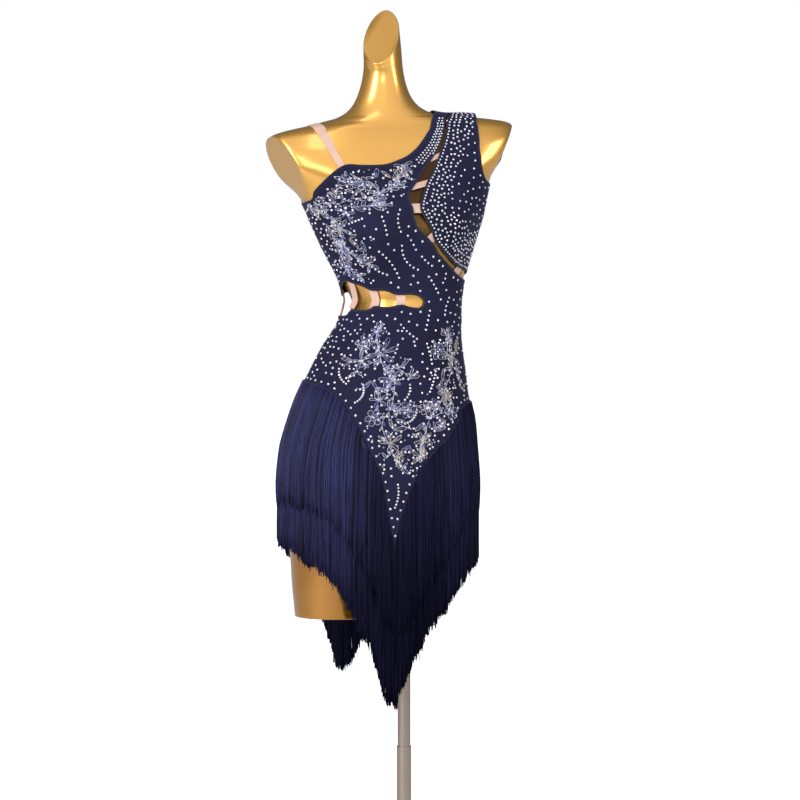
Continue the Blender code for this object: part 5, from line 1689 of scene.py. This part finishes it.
def gold_look():
    look = Look(
        "gold_lacquer",
        base_color=(0.90, 0.47, 0.09),
        metallic=0.75,
        roughness=0.24,
        coat_weight=1.0,
        coat_roughness=0.05,
        coat_ior=1.5,
    )
    cloud = look.noise(5.0, 2.0)
    pearl = look.noise(700.0, 2.0)
    shade = look.ramp(cloud, (0.3, (0.87, 0.450, 0.085)), (0.7, (0.93, 0.495, 0.102)))
    shade = look.mixed("MULTIPLY", 1.0, shade, look.grey(pearl, 0.98, 1.02))
    # Under the taut cloth the lacquer has no light but what the narrow openings let in.
    hidden = look.node("Attribute", attribute_name="shelter").outputs["Fac"]
    rise = look.node("SeparateXYZ", {"Vector": look.coords}).outputs["Z"]
    # The legs stand in the room's dimmer light.
    leg = look.ramp(look.grey(rise, 0.0, 1.0, 0.66, 0.95), (0.0, (0.53, 0.42, 0.19)), (1.0, (1.0, 1.0, 1.0)))
    shade = look.mixed("MULTIPLY", 1.0, shade, leg)
    look.set("Base Color", look.mixed("MIX", hidden, shade, (0.030, 0.012, 0.005)))
    look.set("Coat Weight", look.grey(hidden, 1.0, 0.06))
    look.set("Specular IOR Level", look.grey(hidden, 0.5, 0.06))
    return look.made


def steel_look():
    look = Look("brushed_steel", base_color=(0.42, 0.34, 0.29), metallic=1.0, roughness=0.14)
    lines = look.noise(900.0, 2.0, look.placed(1, 1, 0.01))
    look.set("Roughness", look.grey(lines, 0.08, 0.22))
    look.set("Normal", look.bump(lines, 0.15, 0.0002))
    return look.made


def plate_look():
    look = Look("satin_steel", base_color=(0.60, 0.60, 0.61), metallic=0.9, roughness=0.35)
    grain = look.noise(260.0, 3.0)
    look.set("Roughness", look.grey(grain, 0.3, 0.48))
    look.set("Normal", look.bump(grain, 0.1, 0.0003))
    return look.made


# ---- the dress form
def build_form(look):
    """The moulded form with rounded rims, cut for the gap between the thighs and for the pole's socket."""
    low, high, rim = FIGURE[0].rise, FIGURE[-1].rise, RIMS["end"]
    turn = np.radians(np.linspace(90, 0, RIMS["steps"]))
    up, inward = rim * (1 - np.sin(turn)), rim * (1 - np.cos(turn))
    main = np.arange(low + rim + FINE["form_step"], high - rim, FINE["form_step"])
    rises = np.concatenate([low + up, main, high - up[::-1]])
    inset = np.concatenate([inward, np.zeros_like(main), inward[::-1]])
    sides = FINE["form_sides"]
    angle = np.broadcast_to(360.0 * np.arange(sides) / sides - 180, (len(rises), sides))
    rise = np.broadcast_to(rises[:, None], angle.shape)
    points = figure_points(angle, rise) - normals_of(figure_points, angle, rise) * inset[:, None, None]
    points = eased(points, rises)
    form = add("form_shell", points.reshape(-1, 3), skin(1, len(points), sides), look, "gold")
    gap, top, x, deep = CROTCH["half_gap"], CROTCH["top"], CROTCH["x"], CROTCH["deep"]
    arch = np.radians(np.arange(0, 181, CROTCH["turn"]))
    outline = [(x - gap, BELOW_FORM), (x + gap, BELOW_FORM)]
    outline += [(x + gap * math.cos(a), top + CROTCH["arch"] * math.sin(a)) for a in arch]
    turns = np.radians(np.arange(0, 360, SOCKET["turn"]))
    socket = [(SOCKET["radius"] * math.cos(a), SOCKET["radius"] * math.sin(a)) for a in turns]
    cut_out(form, "slot_cutter", *([(px, y, pz) for px, pz in outline] for y in (-deep, deep)))
    cut_out(form, "shaft_cutter", *([(px, py, z) for px, py in socket] for z in (BELOW_FORM, SOCKET["top"])))
    places = np.empty(3 * len(form.data.vertices))
    form.data.vertices.foreach_get("co", places)
    places = arm_faces(places.reshape(-1, 3) / MM)
    form.data.vertices.foreach_set("co", (places * MM).ravel())
    form.data.update()
    shelter = form.data.attributes.new("shelter", "FLOAT", "POINT")
    shelter.data.foreach_set("value", np.maximum(sheltered(places), behind_fringe(places)))
    form.data.set_sharp_from_angle(angle=math.radians(SHARP["form"]))
    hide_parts("form")
    return form


def eased(points, rises):
    """The neck's rings smoothed along its height, so that it shines without ripples."""
    reach = np.arange(-NECK["reach"], NECK["reach"] + 1)
    weights = np.exp(-((reach / NECK["rings"]) ** 2) / 2)
    last = len(points) - 1
    rows = np.arange(len(points))
    smooth = sum(w * points[np.clip(rows + r, 0, last)] for r, w in zip(reach, weights))
    smooth /= weights.sum()
    room = np.clip((last - NECK["held"] - rows) / NECK["ease"], 0, 1)
    part = np.clip((rises - NECK["low"]) / NECK["fade"], 0, 1) * room
    return points + (smooth - points) * part[:, None, None]


def sheltered(points):
    """How deep in shade the form is at each point, from 0 to 1: inside the slits and openings."""
    shade = np.zeros(len(points))
    front = points[:, 1] < SHELTER["back"]
    for row in SHELTERS:
        path = curve(rows_of(Seen, row.marks), SHELTER["step"])
        line = cloth_points(path[:, 0], path[:, 1], 0.0)
        level = np.interp(np.linspace(0, 1, len(line)), np.linspace(0, 1, len(row.levels)), row.levels)
        away = np.linalg.norm(points[:, None] - line, axis=-1)
        nearest = away.argmin(axis=1)
        fall = 1 - np.clip((away.min(axis=1) - row.width) / row.soft, 0, 1)
        shade = np.maximum(shade, front * fall * level[nearest])
    return shade


def behind_fringe(points):
    """The lacquer behind the fringe, where little light comes through."""
    low = points[:, 2] < BEHIND["high"]
    angles = np.arange(-180.0, 180.0, BEHIND["turn"])
    rises = np.arange(FIGURE[0].rise, BEHIND["high"], BEHIND["step"])
    rings = figure_points(angles[None], rises[:, None])
    ring = np.clip(((points[low, 2] - rises[0]) / BEHIND["step"]).round().astype(int), 0, len(rises) - 1)
    away = np.linalg.norm(rings[ring][..., :2] - points[low, None, :2], axis=-1)
    hem = hem_rise(angles[away.argmin(axis=1)], "under")
    shade = np.zeros(len(points))
    above = points[low, 2] - hem - BEHIND["clear"]
    shade[low] = np.clip(above / BEHIND["soft"], 0, 1) * BEHIND["level"]
    return shade


def arm_faces(points):
    """The form's points with the arm sockets pressed to their flat faces, and the faces' rims rounded."""
    rim = RIMS["arm"]
    for row in ARM_FACES:
        side = 1 if row.x > 0 else -1
        facing = side * np.array([1.0, -row.by_depth, -row.by_height])
        size = np.linalg.norm(facing)
        out = (points - [row.x, 0, row.z]) @ facing / size
        round_off = -((rim - np.clip(out, -rim, rim)) ** 2) / (4 * rim)
        held = np.where((out < -rim) | (points[:, 2] < row.z), out, round_off)
        points = points + (held - out)[:, None] * facing / size
    return points


def cut_out(piece, name, near, far):
    """Cuts a prism out of a piece. Near and far are the prism's two ends."""
    count = len(near)
    faces = [tuple(range(count)), tuple(range(2 * count - 1, count - 1, -1))]
    faces += [(n, n + count, (n + 1) % count + count, (n + 1) % count) for n in range(count)]
    mesh = bpy.data.meshes.new(name)
    mesh.from_pydata((np.array(near + far) * MM).tolist(), [], faces)
    work = bmesh.new()
    work.from_mesh(mesh)
    bmesh.ops.recalc_face_normals(work, faces=work.faces)
    work.to_mesh(mesh)
    work.free()
    tool = new_object(name, mesh)
    step = piece.modifiers.new(name, "BOOLEAN")
    step.operation = "DIFFERENCE"
    step.solver = "EXACT"
    step.object = tool
    graph = bpy.context.evaluated_depsgraph_get()
    result = bpy.data.meshes.new_from_object(piece.evaluated_get(graph))
    piece.modifiers.clear()
    piece.data = result
    bpy.data.objects.remove(tool)


# ---- the stage
def build_world():
    """A white ground for the camera, and the room's light for all else."""
    world = bpy.data.worlds.new("studio")
    bpy.context.scene.world = world
    world.use_nodes = True
    world.node_tree.nodes.clear()
    sky = Nodes(world.node_tree)
    # The room is brighter towards the camera than at the sides.
    turn, ahead = math.radians(CAMERA["turn"]), ROOM_FACING["ahead"]
    brightest = (ahead * math.sin(turn), -ahead * math.cos(turn), ROOM_FACING["up"])
    way = sky.node("TexCoord").outputs["Generated"]
    facing = sky.node("VectorMath", {0: way, 1: brightest}, operation="DOT_PRODUCT").outputs["Value"]
    spread = sky.node("MapRange", {"Value": facing, "From Min": -1.0}).outputs["Result"]
    room = sky.node("FloatCurve", {"Value": spread})
    curve_points = room.mapping.curves[0].points
    for point, (place, level) in zip(curve_points, (ROOM[0], ROOM[-1])):
        point.location = (place, level)
    for place, level in ROOM[1:-1]:
        curve_points.new(place, level)
    room.mapping.update()
    shown = sky.node("Background", {"Color": (1, 1, 1, 1), "Strength": 1})
    lit = sky.node("Background", {"Color": (0.97, 0.98, 1, 1), "Strength": room.outputs["Value"]})
    ray = sky.node("LightPath").outputs["Is Camera Ray"]
    either = sky.node("MixShader", {0: ray, 1: lit.outputs[0], 2: shown.outputs[0]})
    sky.node("OutputWorld", {"Surface": either.outputs[0]})


def build_floor():
    """A pale floor that shows white further out and greyer near the stand, a painted shadow."""
    mesh = bpy.data.meshes.new("floor")
    size = FLOOR["size"]
    corners = [(-size, -size, 0), (size, -size, 0), (size, size, 0), (-size, size, 0)]
    mesh.from_pydata(corners, [], [(0, 1, 2, 3)])
    floor = new_object("floor", mesh)
    look = Look("pale_floor", base_color=(0.88, 0.88, 0.88), roughness=0.7)
    look.shader.inputs["Emission Color"].default_value = (1, 1, 1, 1)
    ray = look.node("LightPath").outputs["Is Camera Ray"]
    away = look.node("VectorMath", {0: look.coords}, operation="LENGTH").outputs["Value"]
    # Painted shadow: to the camera the floor glows less within reach of the stand.
    near, far = FLOOR["shade"], FLOOR["far_shade"] * FLOOR["shade"]
    shown = look.maths("MULTIPLY", ray, look.grey(away, FLOOR["near"], FLOOR["far"], near, far))
    look.set("Emission Strength", look.maths("MAXIMUM", shown, FLOOR["glow"]))
    look.set("Base Color", look.ramp(look.noise(3.0), (0.3, (0.87, 0.87, 0.87)), (0.7, (0.89, 0.89, 0.89))))
    mesh.materials.append(look.made)


def build_lights():
    for row in LIGHTS:
        data = bpy.data.lights.new(row.name, "AREA")
        data.shape = "RECTANGLE"
        data.size, data.size_y = row.wide, row.tall
        data.energy = row.power
        light = new_object(row.name, data)
        light.location = Vector((row.x, row.y, row.z))
        aim = Vector((0, 0, row.aim)) - light.location
        light.rotation_euler = aim.to_track_quat("-Z", "Y").to_euler()


def build_camera():
    bpy.context.scene.view_settings.view_transform = "Standard"
    data = bpy.data.cameras.new("camera")
    data.lens = data.sensor_width * CAMERA["distance"] / CAMERA["width"]
    camera = new_object("camera", data)
    turn = math.radians(CAMERA["turn"])
    back = Vector((math.sin(turn), -math.cos(turn), 0))
    side = Vector((math.cos(turn), math.sin(turn), 0))
    up = Vector((0, 0, CAMERA["height"]))
    camera.location = back * CAMERA["distance"] + side * CAMERA["aside"] + up
    camera.rotation_euler = (-back).to_track_quat("-Z", "Y").to_euler()
    data.clip_end = CAMERA["clip"]
    bpy.context.scene.camera = camera


# ---- the decoration
def build_art(loops, looks):
    """The appliques' pieces, and where their beads are."""
    art = Embroidery(np.random.default_rng(DICE["art"]))
    spots = spots_of([mark(row.px, row.py) for row in MOTIFS])
    for row, spot in zip(MOTIFS, spots):
        art.motif(row.kind, spot, row.heading, row.size, row.tone)
    for row in STEMS:
        art.stem(curve([mark(*pair) for pair in row], ART["step"]))
    kinds = BACK_ART["kinds"]
    for line in BACK_SPRAYS:
        path = curve([Spot(*pair) for pair in line], ART["step"])
        art.stem(path)
        across = BACK_ART["chart"] * (path[-1, 0] - path[0, 0])
        ahead = math.degrees(math.atan2(path[-1, 1] - path[0, 1], across))
        for n, spot in enumerate(path[BACK_ART["first"] :: BACK_ART["every"]]):
            side = -1 if n % 2 else 1
            place = offset(np.vstack([spot, spot + [BACK_ART["nudge"], 0.0]]), side * BACK_ART["aside"])[0]
            size = BACK_ART["size"] + BACK_ART["larger"] * (n % 3)
            art.motif(kinds[n % len(kinds)], place, ahead + side * BACK_ART["turn"], size, n % TONES)
    beads = np.array([spot for spot, _ in art.beads])
    return art.build(looks, loops), on_cloth(beads)


def choose_stones(edge, loops, art_points, dice):
    """Stones in chains and rows, then strewn between them."""
    stones = Stones()
    for row in CHAINS:
        stones.try_all(chain_spots(row), CHAIN["radius"], CHAIN["least"])
    for name in ("yoke_left", "yoke_right", "back_yoke_left", "back_yoke_right"):
        aside = SEAM_ROW["aside"] * (-1 if name.startswith("back") else 1)
        stones.try_all(row_along(edge[name], aside, SEAM_ROW["gap"]), SEAM_ROW["radius"], SEAM_ROW["least"])
    for row in BAND_ROWS:
        line = curve([mark(*pair) for pair in row], BAND["step"])
        stones.try_all(row_along(line, 0.0, BAND["gap"]), BAND["radius"], BAND["least"])
    fill_shoulder_panel(edge["slit_side"], loops["shoulder_panel"], stones, dice)
    for name in ("front_panel", "back_panel"):
        strew(name, loops[name], art_points, stones, dice)
    return stones


def fill_shoulder_panel(slit, loop, stones, dice):
    """Rows along the slit, then stones close together beside them and looser further out."""
    for row in PANEL_ROWS:
        some = row_along(slit, row.aside, row.gap, row.first)
        reach = np.interp(some[:, 1], *zip(*DENSE_REACH))
        some = some[on_panel(some, loop, PANEL_EDGE["row"]) & (row.aside < reach)]
        some = some + dice.normal(0, row.loose, some.shape) / [FLAT_DEGREE, 1]
        stones.try_all(some, row.radius, PANEL_PACK * row.gap)
    some = scatter(loop, PANEL_SCATTER["tries"], PANEL_EDGE["scatter"], dice)
    away = nearness(chart(some), chart(slit), closed=False)
    reach = np.interp(some[:, 1], *zip(*DENSE_REACH))
    gap = np.where(away < reach, PANEL_SCATTER["near"], PANEL_SCATTER["far"])
    stones.try_all(some, PANEL_SCATTER["radius"], gap)


def strew(name, loop, art_points, stones, dice):
    """Stones strewn over a panel and round its appliques."""
    areas, gaps = SCATTER_AREAS, SCATTER_GAPS
    some = scatter(loop, SCATTER["tries"], SCATTER["edge"], dice)
    points = on_cloth(some)
    near_art = np.array([np.linalg.norm(art_points - p, axis=1).min() for p in points])
    gap = np.full(len(some), gaps["plain"])
    keep = near_art > areas["clear"]
    if name == "front_panel":
        angle, rise = wrap(some[:, 0]), some[:, 1]
        gap = np.where(angle < areas["side"], gaps["side"], gap)
        gap = np.where((rise < areas["hip_rise"]) & (angle < areas["hip"]), gaps["hip"], gap)
        keep &= rise <= areas["band_rise"]
    gap = np.where(near_art < areas["art"], gaps["art"], gap)
    stones.try_all(some[keep], SCATTER["radius"], gap[keep])


def build_elastics(look):
    for row in SLIT_ELASTICS + WAIST_ELASTICS:
        middle = spots_of([Seen(row.across, row.up)])[0]
        wide, tall = steps_at(middle[0], middle[1])
        lean = math.radians(row.lean)
        ahead = np.array([math.cos(lean) / wide, math.sin(lean) / tall]) * row.reach
        path = middle + ahead * np.linspace(-1, 1, ELASTIC_STEPS)[:, None]
        build_elastic(row.name, path, row.width, look)
    back, arm = BACK_ELASTIC, ARM_ELASTIC
    low, high = Spot(back["angle"], back["low"]), Spot(back["angle"], back["high"])
    build_elastic("waist_back_elastic", np.linspace(low, high, ELASTIC_STEPS), back["width"], look)
    start, end = Spot(arm["from"], arm["rise"]), Spot(arm["to"], arm["rise"])
    build_elastic("arm_elastic", np.linspace(start, end, ELASTIC_STEPS), arm["width"], look)
    over = over_shoulder("elastic")
    front = [*SHOULDER_ELASTIC_PATH, *over[SHOULDER_ELASTIC["left_out"] :]]
    path = [*front, *reversed(behind(over[:-1])), SHOULDER_ELASTIC["back_end"]]
    path = curve(path, SHOULDER_ELASTIC["step"])
    build_elastic("shoulder_elastic", path, SHOULDER_ELASTIC["width"], look)


def build_fringe(edge, strands, tape):
    """Both layers of each length of fringe. Side is the side of the edge that the cloth is on."""
    dice = np.random.default_rng(DICE["fringe"])
    for place, side in {"front_left": 1, "front_right": 1, "back_left": -1, "back_right": -1}.items():
        line = edge[place.replace("front_", "yoke_").replace("back_", "back_yoke_")]
        for layer in LAYERS:
            name = f"fringe_{place}_{layer.name}"
            build_strands(name, line, layer, dice, strands)
            build_tape(name, line, side, layer, tape)


def main():
    edge = pattern_edges(FINE["edge"])
    loops = panel_loops(edge)
    looks = {
        "cloth": cloth_look(),
        "binding": binding_look(),
        "thread": thread_look(),
        "strand": strand_look(),
        "elastic": elastic_look(),
        "stone": stone_look(),
        "petal": petal_look(),
        "cords": [
            cord_look("silver_cord", (0.50, 0.53, 0.76), (0.96, 0.92, 0.95)),
            cord_look("lilac_cord", (0.22, 0.26, 0.66), (0.80, 0.77, 0.94)),
            cord_look("champagne_cord", (0.64, 0.54, 0.46), (0.96, 0.90, 0.85)),
        ],
    }
    build_form(gold_look())
    panels = {name: build_panel(name, loop, looks["cloth"]) for name, loop in loops.items()}
    bind = ["neckline", "slit_front", "slit_side", "armhole", "opening"]
    build_binding("front_binding", [edge[name] for name in bind], looks["binding"])
    back_bind = ["back_slit", "back_opening", "back_armhole", "back_neckline"]
    build_binding("back_binding", [edge[name] for name in back_bind], looks["binding"])
    sewn = [*bind, *back_bind, "yoke_left", "yoke_right", "back_yoke_left", "back_yoke_right"]
    made = [build_stitches("stitches", [inside(edge[name], loops) for name in sewn], looks["thread"])]

    build_elastics(looks["elastic"])
    build_fringe(edge, looks["strand"], looks["thread"])
    art, art_points = build_art(loops, looks)
    dice = np.random.default_rng(DICE["stones"])
    stones = choose_stones(edge, loops, art_points, dice)
    radii = stones.radii * dice.uniform(*STONE_SIZES, len(stones.radii))
    for name, loop in loops.items():
        chosen = on_panel(stones.spots, loop)
        build_stones(f"{name}_stones", stones.spots[chosen], radii[chosen], dice, looks["stone"])

    for name, (panel, area) in panels.items():
        on_it = [bpy.data.objects[name + "_stones"]]
        if name != "shoulder_panel":
            on_it.append(bpy.data.objects[name.replace("panel", "binding")])
        if name == "front_panel":
            on_it += [*art, *made]

    steel, plate = steel_look(), plate_look()
    for name, look in (("upper_tube", steel), ("lower_tube", steel), ("base_plate", plate)):
        frame["nodes"][name].data.materials.clear()
        frame["nodes"][name].data.materials.append(look)
    build_world()
    build_floor()
    build_lights()
    build_camera()


main()
